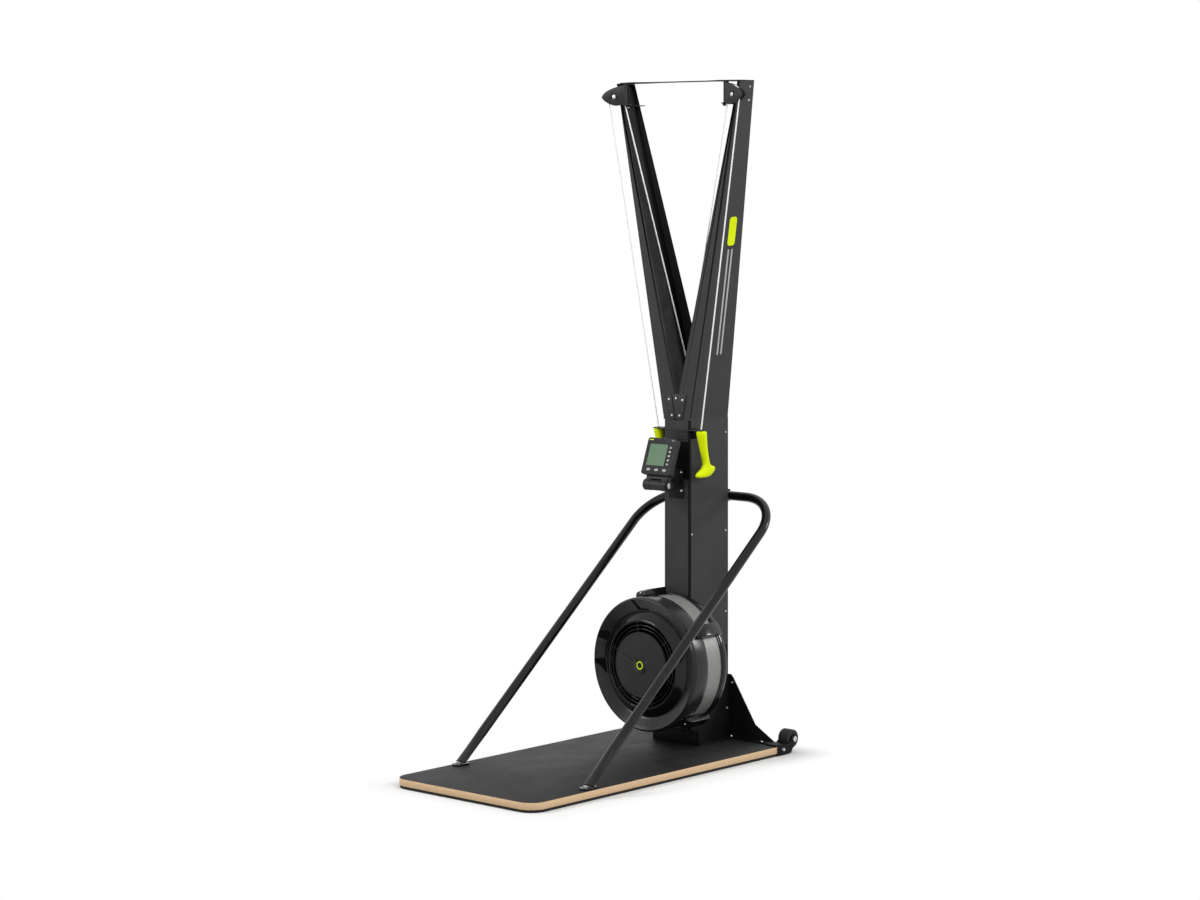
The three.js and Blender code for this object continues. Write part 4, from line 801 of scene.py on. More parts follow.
def pushed_back(bm, inner, outer, first, last, depth):
    """Sinks the part of the front face between two radii and two angles."""
    chosen = []
    for face in bm.faces:
        radius, angle = polar(face.calc_center_median())
        if face.normal.y < -0.9 and inner < radius < outer and first < angle < last:
            chosen.append(face)
    sunk = bmesh.ops.extrude_face_region(bm, geom=chosen)
    moved(bm, y=depth, verts=points_in(sunk))


WINDOW_FIRST, WINDOW_LAST, TRACK_MARGIN = 105, 192, 9
WINDOW_DEEP, TRACK_DEEP = 3, 5
pushed_back(bm, WINDOW_INNER, WINDOW_OUTER, WINDOW_FIRST, WINDOW_LAST, WINDOW_DEEP)
pushed_back(bm, TRACK_INNER, TRACK_OUTER, WINDOW_FIRST + TRACK_MARGIN, WINDOW_LAST - TRACK_MARGIN,
            TRACK_DEEP)
soften(bm, 0.7, 2, angle=40)
for face in bm.faces:
    radius, angle = polar(face.calc_center_median())
    face.material_index = 1 if radius < CONE_EDGE + 0.1 else 0
bake(bm, "housing_front_moulding", "frame", [SILK_ABS, POLISHED_ABS], ["housing_front"],
     sharp=40)
print("front moulding spun, window from", WINDOW_FIRST, "to", WINDOW_LAST, "degrees")

# %% [markdown]
# The damper ring turns behind the front moulding. Only its lever shows in the window: a
# flat tab with sloping ends, wide enough for two fingers. A part spin of its outline gives
# it the same curve as the window.

# %% Damper lever
LEVER_FIRST, LEVER_LAST = 160, 180
DAMPER_BODY = nodes["damper_ring"]["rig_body"]


def swept(profile, first, last, steps):
    """A closed solid from an outline swept between two angles about the wheel's axis."""
    bm = bmesh.new()
    start = math.radians(first)
    ring = [bm.verts.new((r * MM * math.cos(start), y * MM, r * MM * math.sin(start))) for r, y in profile]
    cap = bm.faces.new(ring)
    bmesh.ops.spin(bm, geom=[cap], cent=(0, 0, 0), axis=(0, -1, 0), angle=math.radians(last - first),
                   steps=steps)
    bmesh.ops.remove_doubles(bm, verts=bm.verts, dist=1e-7)
    bmesh.ops.recalc_face_normals(bm, faces=bm.faces)
    moved(bm, z=WHEEL_Z)
    return bm


lever_outline = [(170.5, 150.4), (170.5, 156.4), (203.5, 169.2), (203.5, 163.4)]
lever = swept(at_depths(lever_outline), LEVER_FIRST, LEVER_LAST, 10)
soften(lever, 0.8, 3, angle=60)
bake(lever, "damper_lever", DAMPER_BODY, [SILK_ABS], ["damper_ring"])
print("lever from", LEVER_FIRST, "to", LEVER_LAST, "degrees")

# %% [markdown]
# At each end of the lever the face opens into a gap that lies in shade, and a fin-shaped groove
# in shade stands near the top. They could be cut into the moulding, but a thin matt black plate
# that follows the dish is painted shade in their place and keeps the turned shape clean. Its
# corners are given as radius, angle and rise above the face, as one would measure them on a wheel.

# %% Painted shade in the damper gaps and fin
PATCH_THICK = 1.2


def shade_patch(name, corners, body):
    """A thin matt black plate on the dished face, painted shade; corners are radius, degrees and rise."""
    bm = bmesh.new()
    ring = []
    for radius, angle, rise in corners:
        turn = math.radians(angle)
        ring.append(bm.verts.new((radius * math.cos(turn) * MM, ahead(dished(radius) + rise) * MM,
                                  (WHEEL_Z + radius * math.sin(turn)) * MM)))
    plate = bm.faces.new(ring)
    sunk = bmesh.ops.extrude_face_region(bm, geom=[plate])
    moved(bm, y=PATCH_THICK, verts=points_in(sunk))
    bmesh.ops.recalc_face_normals(bm, faces=bm.faces)
    bake(bm, name, body, [MATT_ABS_AND_SHADE], sharp=30)


upper_gap = [(171, 159.6, 4.6), (204.5, 159.6, 2.6), (205.5, 153.5, 0.6), (196, 152.5, 0.6),
             (184, 150, 0.6), (174, 150, 0.6)]
lower_gap = [(171, 180.4, 4.6), (171.5, 196, 0.6), (176, 193.5, 0.6), (188, 187, 0.6),
             (204.5, 184.5, 0.6), (205.8, 180.4, 2.6)]
fin = [(211, 104.4, 1.4), (206, 101.2, 1.2), (192, 99.4, 0.6), (178, 96, 0.6), (178, 86, 0.6),
       (174.5, 85, 0.6), (173.5, 100.5, 0.6), (192, 102.6, 0.6)]
# Painted shade: the gaps and the fin's groove are drawn as matt black plates.
shade_patch("damper_gap_shade_upper", upper_gap, DAMPER_BODY)
shade_patch("damper_gap_shade_lower", lower_gap, DAMPER_BODY)
shade_patch("face_fin_shade", fin, "frame")
print("gaps and fin made")

# %% [markdown]
# The lever moves a flat ring behind the face, the shutter, which sets how much air gets in.
# It is hidden, so a plain ring is enough. A short stem joins the two through the track, and
# both ride with the lever.

# %% Damper shutter and stem
SHUTTER_OUTLINE = [(174, 144), (202, 144), (202, 146.2), (174, 146.2)]
STEM_OUTLINE = [(188, 146), (188, 160), (192, 160), (192, 146)]
STEM_FIRST, STEM_LAST = 170, 175
bake(spun(at_depths(SHUTTER_OUTLINE), z=WHEEL_Z), "damper_shutter", DAMPER_BODY, [MOULDED_ABS])
stem = swept(at_depths(STEM_OUTLINE), STEM_FIRST, STEM_LAST, 3)
bake(stem, "damper_stem", DAMPER_BODY, [MOULDED_ABS])
print("damper made")

# %% [markdown]
# Between the front moulding and the rear shell runs a band of perforated sheet, where the
# fan blows out. Its holes are a pattern, so the band needs a map of its own, measured in
# millimetres along the band and across it. Angles jump by a full turn somewhere on a ring,
# so each corner's angle is taken relative to the middle of its face.

# %% Perforated band
BAND_FRONT, BAND_BACK = 94.7, 28.3
band_outline = [(BAND_INNER, BAND_FRONT), (BAND_OUTER, BAND_FRONT), (BAND_OUTER, BAND_BACK),
                (BAND_INNER, BAND_BACK)]
bm = spun(at_depths(band_outline), z=WHEEL_Z)
sheet_layer = bm.loops.layers.uv.new("sheet")
for face in bm.faces:
    middle = polar(face.calc_center_median())[1]
    for loop in face.loops:
        angle = polar(loop.vert.co)[1]
        turn = (angle - middle + 180) % 360 - 180 + middle
        loop[sheet_layer].uv = (math.radians(turn) * BAND_OUTER, loop.vert.co.y / MM)
bake(bm, "perforated_band", "frame", [PERFORATED_STEEL], ["screen_band"])
print("band", round(BAND_FRONT - BAND_BACK, 1), "mm deep")

# %% [markdown]
# The rear shell is a shallow polished dish that lies against the mast, with a rolled rim
# that grips the band. It is spun from one outline like the front, wall and all, so that it
# has a real thickness where it is seen edge on.

# %% Rear shell
rear_outline = [
    (34, 0.3), (204, 0.3), (209, 1.5), (212.6, 4.6), (214, 9), (214, 21), (213, 25), (210.4, 28),
    (BAND_INNER, 28), (BAND_INNER, 24), (209.6, 20), (210, 10), (204, 3.3), (34, 3.3),
]
bm = spun(at_depths(rear_outline), z=WHEEL_Z)
soften(bm, 0.6, 2, angle=40)
bake(bm, "rear_shell", "frame", [POLISHED_ABS], ["housing_rear"], sharp=40)
print("rear shell spun")

# %% [markdown]
# Five clips hold the two halves together across the band. Each is a hooked pad with a
# screw at its front end. The hook's section is swept through the clip's width.

# %% Housing clips
CLIP_ANGLES = (32, 102, 148, -52, -128)
CLIP_HALF_DEGREES = 5.1
clip_outline = [
    (214.4, 127.6), (221, 126.6), (229, 120), (232.4, 108), (233.2, 90), (233.2, 24), (231, 20),
    (213, 18.6), (213, 26), (209.4, 28.8), (209.4, 94.2), (214.4, 96),
]
clip_section = at_depths(clip_outline)
for number, angle in enumerate(CLIP_ANGLES, 1):
    bm = swept(clip_section, angle - CLIP_HALF_DEGREES, angle + CLIP_HALF_DEGREES, 8)
    soften(bm, 2.2, 3, angle=60)
    bake(bm, f"housing_clip_{number}", "frame", [POLISHED_ABS])
print("clips:", len(CLIP_ANGLES))

# %% [markdown]
# The middle of the housing is closed by a disc with a raised rim, a little domed so that its
# highlight changes across it. A flat plate would look like a hole. It stands for the CAD
# grille together with the rings that follow.

# %% Disc
DISC_RADIUS = 104
disc_outline = [(0, 179.6), (60, 179.8), (92, 179), (99.5, 178.2), (101, 178.6), (102.8, 178.4),
                (DISC_RADIUS, 177), (DISC_RADIUS, 170), (100, 173), (0, 173)]
bm = spun(at_depths(disc_outline), z=WHEEL_Z)
bake(bm, "grille_disc", "frame", [MOULDED_ABS], ["grille"], sharp=40)
print("disc spun")

# %% [markdown]
# Three rings of round section close the gap between the disc and the cone, and six flat
# spokes carry them. Each ring is its small section spun about the wheel's axis. A torus
# would do as well, but spin keeps the same steps as the parts around it.

# %% Grille rings and spokes
RING_RADII = (113.9, 125.6, 137)
GRILLE_DEPTH = 166.5
WIRE_RADIUS, WIRE_SIDES = 1.5, 8
SPOKES, FIRST_SPOKE = 6, 160
SPOKE_SIZE = (36.5, 2.4, 1.8)
SPOKE_MIDDLE = 120.2

rings = []
for radius in RING_RADII:
    angles = [2 * math.pi * i / WIRE_SIDES for i in range(WIRE_SIDES)]
    section = [(radius + WIRE_RADIUS * math.cos(a), ahead(GRILLE_DEPTH) + WIRE_RADIUS * math.sin(a))
               for a in angles]
    rings.append(spun(section))
bm = merged(*rings)
for number in range(SPOKES):
    spoke = bmesh.ops.create_cube(bm, size=1.0)["verts"]
    bmesh.ops.scale(bm, vec=Vector(SPOKE_SIZE) * MM, verts=spoke)
    moved(bm, x=SPOKE_MIDDLE, y=ahead(GRILLE_DEPTH), verts=spoke)
    turned(bm, -math.radians(FIRST_SPOKE + 360 / SPOKES * number), "Y", spoke)
moved(bm, z=WHEEL_Z)
bake(bm, "grille_rings", "frame", [POLISHED_ABS], sharp=60)
print("rings:", len(RING_RADII), "spokes:", SPOKES)

# %% [markdown]
# A plain round badge covers the hub, with a thin lime ring on it. A hair line runs over the
# disc from the badge towards the upper left. All three are raised by under three
# millimetres, enough for the lamps to find their edges.

# %% Hub badge and pointer
BADGE_STEPS = 64
badge_outline = [(0, 181.9), (24, 181.7), (27, 180.8), (28, 179), (0, 179)]
badge = spun(at_depths(badge_outline), z=WHEEL_Z, steps=BADGE_STEPS)
bake(badge, "hub_badge", "frame", [POLISHED_ABS])
mark_outline = [(9.5, 181.7), (9.5, 182.3), (13, 182.3), (13, 181.7)]
mark = spun(at_depths(mark_outline), z=WHEEL_Z, steps=BADGE_STEPS)
bake(mark, "hub_mark", "frame", [LIME_GRIP])

POINTER_SIZE = (46, 0.5, 1.7)
POINTER_MIDDLE, POINTER_DEGREES = 55, 157
bm = bmesh.new()
bmesh.ops.create_cube(bm, size=1.0)
bmesh.ops.scale(bm, vec=Vector(POINTER_SIZE) * MM, verts=bm.verts)
moved(bm, x=POINTER_MIDDLE, y=ahead(180))
turned(bm, -math.radians(POINTER_DEGREES), "Y")
moved(bm, z=WHEEL_Z)
bake(bm, "disc_pointer", "frame", [POLISHED_ABS])
print("badge and pointer made")

# %% [markdown]
# Behind the grille turns the flywheel, a dark cast wheel with radial vanes. Only its front
# edges show between the rings. The cord drums and guide rollers sit in the mast and show
# only when the machine is opened, so their CAD shapes are kept and bevelled.

# %% Flywheel and drive
DARK_CASTING = bare_metal("painted_casting", "#1b1b1c", "#262626", 0.6, 2.5)
dressed("flywheel", DARK_CASTING, 0.5)
for side in SIDES:
    dressed(f"cord_drum_{side}", MOULDED_ABS, 0.4)
    dressed(f"guide_roller_{side}", TURNED_STEEL, 0.2)
dressed("return_cord", ELASTIC, 0, sharp=60)
print("drive dressed")

# %% [markdown]
# Braces and cords are both a round section led along a path. The helper draws one circle,
# then extrudes it from point to point, turning it as the path turns, so the section never
# twists. Each corner keeps its place round the section and along it, for the cord's map. A
# second list can flatten or shrink the section, which the brace needs at its feet.

# %% Sections led along a path
def map_lay(bm, share, along):
    """A map from the share round the section and the millimetres along it."""
    mapping = bm.loops.layers.uv.new("cord_lay")
    for face in bm.faces:
        wraps = max(v[share] for v in face.verts) - min(v[share] for v in face.verts) > 0.5
        for loop in face.loops:
            u = loop.vert[share] + (1.0 if wraps and loop.vert[share] < 0.25 else 0.0)
            loop[mapping].uv = (u, loop.vert[along])


def led(points, radius, sides, shapes=None, lay=False):
    """A tube through points in millimetres; shapes give (across, through) factors at each."""
    places = [Vector(p) * MM for p in points]
    bm = bmesh.new()
    share = bm.verts.layers.float.new("share")
    along = bm.verts.layers.float.new("along")
    ring = bmesh.ops.create_circle(bm, segments=sides, radius=radius * MM)["verts"]
    for i, corner in enumerate(ring):
        corner[share] = i / sides
    ahead_now = (places[1] - places[0]).normalized()
    turn = Vector((0, 0, 1)).rotation_difference(ahead_now).to_matrix()
    flats = [corner.co.copy() for corner in ring]
    distance = 0.0
    shapes = shapes or [(1, 1)] * len(places)
    edges, current = list(bm.edges), list(ring)
    for number, place in enumerate(places):
        before = places[max(number - 1, 0)]
        after = places[min(number + 1, len(places) - 1)]
        direction = (after - before).normalized()
        turn = ahead_now.rotation_difference(direction).to_matrix() @ turn
        ahead_now = direction
        distance += (place - before).length / MM
        if number:
            grown = bmesh.ops.extrude_edge_only(bm, edges=edges)
            current = points_in(grown)
            edges = edges_in(grown, current)
        across, through = shapes[number]
        for corner in current:
            flat = flats[round(corner[share] * sides)]
            out_from = turn @ Vector((flat.x, flat.y, 0))
            corner.co = place + Vector((out_from.x * across, out_from.y * through, out_from.z * through))
            corner[along] = distance
    if lay:
        map_lay(bm, share, along)
    bmesh.ops.holes_fill(bm, edges=[e for e in bm.edges if e.is_boundary], sides=0)
    bmesh.ops.recalc_face_normals(bm, faces=bm.faces)
    return bm

print("sections can be led")

# %% [markdown]
# A tube bender leaves a round bend between two straight runs. A cubic curve whose handles
# are 0.55 of the bend's reach lies very close to a quarter circle, so it gives the bend.

# %% Bends
BEND_PULL = 0.55


def bent(start, corner, finish, bend, steps):
    """Points from start to finish with a round bend of that reach at the corner."""
    start, corner, finish = Vector(start), Vector(corner), Vector(finish)
    into = (corner - start).normalized()
    away = (finish - corner).normalized()
    first, last = corner - into * bend, corner + away * bend
    pull = bend * BEND_PULL
    curve = []
    for i in range(steps + 1):
        t = i / steps
        curve.append(first * (1 - t) ** 3 + (first + into * pull) * 3 * t * (1 - t) ** 2
                     + (last - away * pull) * 3 * t * t * (1 - t) + last * t ** 3)
    return [start] + curve + [finish]

print("bends ready")

# %% [markdown]
# Each brace starts behind the mast, bends at shoulder width and runs down to the board. The
# real tube is pressed flat at its foot, and the flat is folded forward into a round tab with
# one bolt. So the section is squeezed over its last hand's width, and the tab is a separate
# rounded plate that starts inside the squeezed end.

# %% Brace
BRACE_RADIUS, BRACE_SIDES = 15, 28
BRACE_START_X, BRACE_Y, BRACE_HEIGHT = 4, 575.6, 811
BRACE_BEND, BEND_STEPS = 150, 28
FOOT_X, FOOT_Y = 266, -370.5
FOOT_BACK, FOOT_RISE = 15, 9
BOARD_TOP = 30
TAB_WIDE, TAB_THICK, TAB_LONG = 36, 5, 62
TAB_GAP = 0.3
CRIMP_FROM, CRIMP_STEPS = 130, 10
CRIMP_WIDER, CRIMP_THINNER, CRIMP_POWER = 0.42, 0.73, 1.3


def brace():
    """The right brace with its crimped foot and its tab."""
    foot = Vector((FOOT_X, FOOT_Y + FOOT_BACK, BOARD_TOP + FOOT_RISE))
    corner = Vector((FOOT_X, BRACE_Y, BRACE_HEIGHT))
    path = bent((BRACE_START_X, BRACE_Y, BRACE_HEIGHT), corner, foot, BRACE_BEND, BEND_STEPS)
    path.pop()
    down = (foot - corner).normalized()
    shares = [i / CRIMP_STEPS for i in range(CRIMP_STEPS + 1)]
    crimp = [foot - down * CRIMP_FROM * (1 - share) for share in shares]
    path += crimp
    shapes = [(1, 1)] * (len(path) - len(crimp))
    for squeeze in (share ** CRIMP_POWER for share in shares):
        shapes.append((1 + CRIMP_WIDER * squeeze, 1 - CRIMP_THINNER * squeeze))
    bm = led(path, BRACE_RADIUS, BRACE_SIDES, shapes)
    tab = bmesh.ops.create_circle(bm, cap_ends=True, segments=BRACE_SIDES,
                                  radius=TAB_WIDE / 2 * MM)["verts"]
    for point in tab:
        if point.co.y > 0:
            point.co.y += (TAB_LONG - TAB_WIDE) * MM
    plate = list({f for v in tab for f in v.link_faces})
    top = points_in(bmesh.ops.extrude_face_region(bm, geom=plate))
    moved(bm, z=TAB_THICK, verts=top)
    whole = list(set(tab) | set(top))
    moved(bm, x=FOOT_X, y=FOOT_Y, z=BOARD_TOP + TAB_GAP, verts=whole)
    rims = [e for e in bm.edges if all(v in whole for v in e.verts) and e.calc_face_angle(0) > 0.8]
    bevelled(bm, rims, 1.2, 3)
    bmesh.ops.recalc_face_normals(bm, faces=bm.faces)
    return bm

print("brace crimped over its last", CRIMP_FROM, "mm")

# %% [markdown]
# Hexagon bolts hold the braces and the rollers. A cone with six sides is the head; insetting
# its top face and lifting it gives the chamfer that every real head has. The bolt is drawn
# upright and one matrix stands it on its face.

# %% Hexagon bolts, braces placed
def hex_bolt(across, height, place, axis, washer=0.0):
    """A hexagon head with a chamfered top and, if wanted, a washer, standing on a face."""
    bm = bmesh.new()
    turn = Vector((0, 0, 1)).rotation_difference(Vector(axis)).to_matrix().to_4x4()
    radius = across / math.sqrt(3) * MM
    head = bmesh.ops.create_cone(bm, cap_ends=True, segments=6, radius1=radius, radius2=radius,
                                 depth=height * MM)["verts"]
    moved(bm, z=height / 2 + washer, verts=head)
    crown = max(bm.faces, key=lambda f: f.calc_center_median().z)
    bmesh.ops.inset_region(bm, faces=[crown], thickness=across * 0.07 * MM)
    moved(bm, z=height * 0.12, verts=crown.verts)
    if washer:
        ring = bmesh.ops.create_cone(bm, cap_ends=True, segments=32, radius1=across * 0.62 * MM,
                                     radius2=across * 0.6 * MM, depth=washer * MM)["verts"]
        moved(bm, z=washer / 2, verts=ring)
    bmesh.ops.transform(bm, matrix=Matrix.Translation(Vector(place) * MM) @ turn, verts=bm.verts)
    return bm


for side, sign in SIDES.items():
    bm = brace()
    if sign < 0:
        bm = mirrored(bm)
    bake(bm, f"brace_{side}", "frame", [TUBE_COAT], [f"brace_tube_{side}"], sharp=40)
    bolt = hex_bolt(13, 5.4, (sign * FOOT_X, FOOT_Y, BOARD_TOP + TAB_GAP + TAB_THICK), (0, 0, 1))
    bake(bolt, f"foot_bolt_head_{side}", "frame", [ZINC_PLATE], [f"foot_bolt_{side}"])
print("braces made:", len(SIDES))

# %% [markdown]
# Transport rollers let one person tip the machine back and wheel it. Each is a moulded
# rubber wheel with round shoulders and a recessed hub, and it stands for the plain CAD drum.
# The top pulleys have their groove in the CAD model already, so they are only bevelled.

# %% Rollers and pulleys
ROLLER_X, ROLLER_Y, ROLLER_Z = 271.3, 599.5, 45
TO_SIDE = Matrix.Rotation(math.radians(90), 4, "Z")


def wheel_on_x(profile, x, y, z, steps=72):
    """A spun wheel whose axle runs along X."""
    bm = spun(profile, steps=steps)
    bmesh.ops.transform(bm, matrix=Matrix.Translation(Vector((x, y, z)) * MM) @ TO_SIDE, verts=bm.verts)
    return bm


tread = [(5.6, -16), (15, -16), (17, -18.5), (22, -19.4), (26, -19.4), (28.2, -18.6), (29, -16.4),
         (29, 16.4), (28.2, 18.6), (26, 19.4), (22, 19.4), (17, 18.5), (15, 16), (5.6, 16)]
for side, sign in SIDES.items():
    bm = wheel_on_x(tread, sign * ROLLER_X, ROLLER_Y, ROLLER_Z)
    bake(bm, f"roller_tread_{side}", nodes[f"roller_{side}"]["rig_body"], [ROLLER_RUBBER],
         [f"roller_{side}"], sharp=40)
    dressed(f"pulley_{side}", POLISHED_ABS, 0.3)
print("rollers and pulleys made")

# %% [markdown]
# The drive cords are braided polyester, kept taut by the elastic cord inside the mast. Each
# has a fall from the pulley to the handle, a wrap round the pulley and a run down the mast
# to its drum. A curve object could be each cord, but the three parts belong to different
# bodies, so each is a mesh of its own, along the same points as in the CAD model.

# %% Cord sizes and the pulley's groove
CORD_RADIUS, CORD_SIDES = 2.25, 12
FALL_STEPS, WRAP_STEPS = 24, 36
FALL_GAP, FALL_RISE = 0.3, 0.7
PIVOT_X, PIVOT_Y = 203, 360.5
PULLEY_OUT, PULLEY_Z = 48, 2113
GROOVE_PATH = 27.35
TOE = math.radians(11.6)
HANDLE_X, HANDLE_Y, HANDLE_TOP = 89.5, 380, 1036.7
HANDLE_LEAN = math.tan(math.radians(14))
GUIDE_Z, GUIDE_GROOVE, DRUM_TANGENT = 1030, 10.5, 20
WRAP_END, RUN_TOP = 2085.9, 2084.2
DRUM_Y = {"right": 394.5, "left": 476.5}


def wheel_point(angle):
    """A point of the cord's middle line on the right pulley."""
    reach = PULLEY_OUT + GROOVE_PATH * math.cos(angle)
    return Vector((PIVOT_X + reach * math.cos(TOE), PIVOT_Y - reach * math.sin(TOE),
                   PULLEY_Z + GROOVE_PATH * math.sin(angle)))


print("cord groove at radius", GROOVE_PATH, "mm")

# %% [markdown]
# A taut cord leaves a pulley where its straight run touches the groove. The lean of each run
# follows from where it ends, so the angles where the wrap starts and ends can be worked out
# and the three pieces meet end to end.

# %% Where the cord meets its pulley
across = PIVOT_X + PULLEY_OUT
outer_lean = math.atan2(across + GROOVE_PATH - HANDLE_X, PULLEY_Z - HANDLE_TOP)
inner_lean = math.atan2(across - GROOVE_PATH + DRUM_TANGENT, PULLEY_Z - GUIDE_Z)
wrap_from, wrap_to = -outer_lean, math.pi - inner_lean
fall_end = Vector((HANDLE_X, HANDLE_Y, HANDLE_TOP + FALL_RISE))
fall_start = wheel_point(wrap_from)
fall_start += (fall_end - fall_start).normalized() * FALL_GAP
print("wrap turns through", round(math.degrees(wrap_to - wrap_from)), "degrees")


def cord_paths(drum_y):
    """The right cord's fall, wrap and run, down to a drum at that Y."""
    fall = [fall_start.lerp(fall_end, i / FALL_STEPS) for i in range(FALL_STEPS + 1)]
    arc = [wheel_point(wrap_from + (wrap_to - wrap_from) * i / WRAP_STEPS) for i in range(WRAP_STEPS + 1)]
    bend_spot = Vector((-DRUM_TANGENT, drum_y, GUIDE_Z))
    down = (bend_spot - arc[-1]).normalized()
    leaving = [arc[-1] + down * ((z - arc[-1].z) / down.z) for z in (WRAP_END, RUN_TOP)]
    before = bend_spot - down * GUIDE_GROOVE / 2
    after = bend_spot - Vector((0, 0, GUIDE_GROOVE / 2))
    curve = [before * (1 - t) ** 2 + bend_spot * 2 * t * (1 - t) + after * t * t
             for t in (0, 0.25, 0.5, 0.75, 1)]
    run = [leaving[1]] + curve + [Vector((-DRUM_TANGENT, drum_y, WHEEL_Z))]
    return {"fall": fall, "wrap": arc + [leaving[0]], "run": run}

# %% [markdown]
# Each cord is laid as its three pieces. The wrap and the run ride on one body each. The fall
# rides on no body: its place is baked into its mesh, and its two end points are worked out.

# %% Cords laid
cord_lengths = {}
for side, sign in SIDES.items():
    lengths = []
    for part, path in cord_paths(DRUM_Y[side]).items():
        path = [Vector((sign * p.x, p.y, p.z)) for p in path]
        body = None if part == "fall" else nodes[f"cord_{part}_{side}"]["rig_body"]
        piece = bake(led(path, CORD_RADIUS, CORD_SIDES, lay=True), f"cord_{part}_braid_{side}", body,
                     [BRAIDED_CORD], [f"cord_{part}_{side}"], sharp=60)
        if part == "fall":
            ends = [tuple(point * MM) for point in (path[0], path[-1])]
            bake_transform(piece)
        lengths.append(round(sum((b - a).length for a, b in zip(path, path[1:]))))
    cord_lengths[side] = lengths
print("cord lengths, fall, wrap and run:", cord_lengths)

# %% [markdown]
# A ski pole handle: a round grip that narrows to a neck, then swells into a foot, longer to
# the front than to the back, that stops the hand from slipping off. It is built from one
# circle, extruded down through stations that stretch, shift and tilt it. A subdivision
# surface would soften the edges too, but the stations are close enough without one.

# %% Handle shape
STATIONS = [  # height, forward shift, half width, half length, tilt in degrees
    (HANDLE_TOP, 0, 8, 8, 0), (1036.4, 0, 13.6, 13.6, 0), (1034.8, 0, 16.4, 16.4, 0),
    (1032, 0, 17.3, 17.3, 0), (1024, 0.3, 16.9, 16.9, 0), (1008, 1, 15.4, 15.5, 0),
    (990, 1.6, 13.9, 14, 0), (974, 1.8, 13.1, 13.2, 0), (958, 2, 12.5, 12.6, 0),
    (942, 1.5, 12.4, 12.5, 0), (933, 1.3, 12.4, 12.7, 1), (927, 1.5, 12.4, 15, 2),
    (922, 0, 12.4, 21.5, 3.4), (917.5, -2.4, 12.4, 30, 4), (913, 1, 12.4, 37, 5),
    (908, 7.2, 12.4, 43, 5.5), (902.5, 13.5, 12.3, 45, 5), (897.5, 19, 11.9, 43.5, 4),
    (893, 22.5, 11.2, 38.5, 3), (889.5, 25, 9.6, 31, 2), (887.4, 26, 6.5, 22, 1.5),
]
HANDLE_SIDES = 40


def handle():
    """The right handle, from its top down to its foot."""
    bm = bmesh.new()
    key = bm.verts.layers.int.new("key")
    ring = bmesh.ops.create_circle(bm, segments=HANDLE_SIDES, radius=1.0)["verts"]
    for number, corner in enumerate(ring):
        corner[key] = number
    flats = [corner.co.copy() for corner in ring]
    edges, current = list(bm.edges), list(ring)
    for step, (z, shift, half_wide, half_long, tilt) in enumerate(STATIONS):
        if step:
            grown = bmesh.ops.extrude_edge_only(bm, edges=edges)
            current = points_in(grown)
            edges = edges_in(grown, current)
        lean = Matrix.Rotation(math.radians(tilt), 3, "X")
        middle = Vector((HANDLE_X, HANDLE_Y - shift + (HANDLE_TOP - z) * HANDLE_LEAN, z))
        for corner in current:
            flat = flats[corner[key]]
            corner.co = (middle + lean @ Vector((flat.x * half_wide, flat.y * half_long, 0))) * MM
    bmesh.ops.holes_fill(bm, edges=[e for e in bm.edges if e.is_boundary], sides=0)
    bmesh.ops.recalc_face_normals(bm, faces=bm.faces)
    return bm

print("handle stations:", len(STATIONS))

# %% [markdown]
# The left handle is the right one mirrored, as the foot points forward on both. A small dark
# sleeve in the top of each grip holds the cord. It hides the place where a thin line would
# otherwise run straight into soft rubber.

# %% Grips and cord sleeves
for side, sign in SIDES.items():
    bm = handle()
    if sign < 0:
        bm = mirrored(bm)
    body = nodes[f"handle_{side}"]["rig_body"]
    bake(bm, f"handle_grip_{side}", body, [LIME_GRIP], [f"handle_{side}"], sharp=60)
    sleeve = bmesh.new()
    bmesh.ops.create_cone(sleeve, cap_ends=True, segments=32, radius1=5.4 * MM, radius2=3.6 * MM,
                          depth=5 * MM)
    moved(sleeve, x=sign * HANDLE_X, y=HANDLE_Y, z=HANDLE_TOP + 2)
    soften(sleeve, 0.5, 2)
    bake(sleeve, f"cord_sleeve_{side}", body, [MOULDED_ABS])
print("grips and sleeves made:", len(SIDES))

# %% [markdown]
# The monitor is a small moulded box on a hinge. Its face leans back by 20 degrees, so it is
# drawn upright with the foot of its face at the origin, and one matrix then leans it and
# carries it to its pin, as in the CAD model. That is easier than working out leaning
# coordinates for each piece. Nearly all of it is made from one form, the rounded slab.

# %% Rounded slab and the monitor's place
MONITOR_BODY = nodes["monitor_case"]["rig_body"]
AXIS_DROP, AXIS_BACK = 28, 25
PIN_Y, PIN_Z = 269.5, 866
FACE_LEAN = math.radians(20)
at_monitor = (Matrix.Translation(Vector((0, PIN_Y, PIN_Z)) * MM) @ Matrix.Rotation(-FACE_LEAN, 4, "X")
              @ Matrix.Translation(Vector((0, -AXIS_BACK, AXIS_DROP)) * MM))


def slab(x0, x1, z0, z1, y0, y1, corner, steps=8, draft=0.0):
    """A rounded block: a cube whose upright edges are rounded in front view."""
    bm = bmesh.new()
    bmesh.ops.create_cube(bm, size=1.0)
    bmesh.ops.scale(bm, vec=Vector((x1 - x0, y1 - y0, z1 - z0)) * MM, verts=bm.verts)
    moved(bm, x=(x0 + x1) / 2, y=(y0 + y1) / 2, z=(z0 + z1) / 2)
    along = [e for e in bm.edges if abs((e.verts[0].co - e.verts[1].co).normalized().y) > 0.9]
    if corner:
        bevelled(bm, along, corner, steps)
    for point in bm.verts:
        if draft and point.co.y > (y0 + y1) / 2 * MM:
            point.co.x *= 1 - draft
    return bm


def at_face(bm):
    """Leans a shape drawn upright and carries it to the monitor."""
    bmesh.ops.transform(bm, matrix=at_monitor, verts=bm.verts)
    return bm

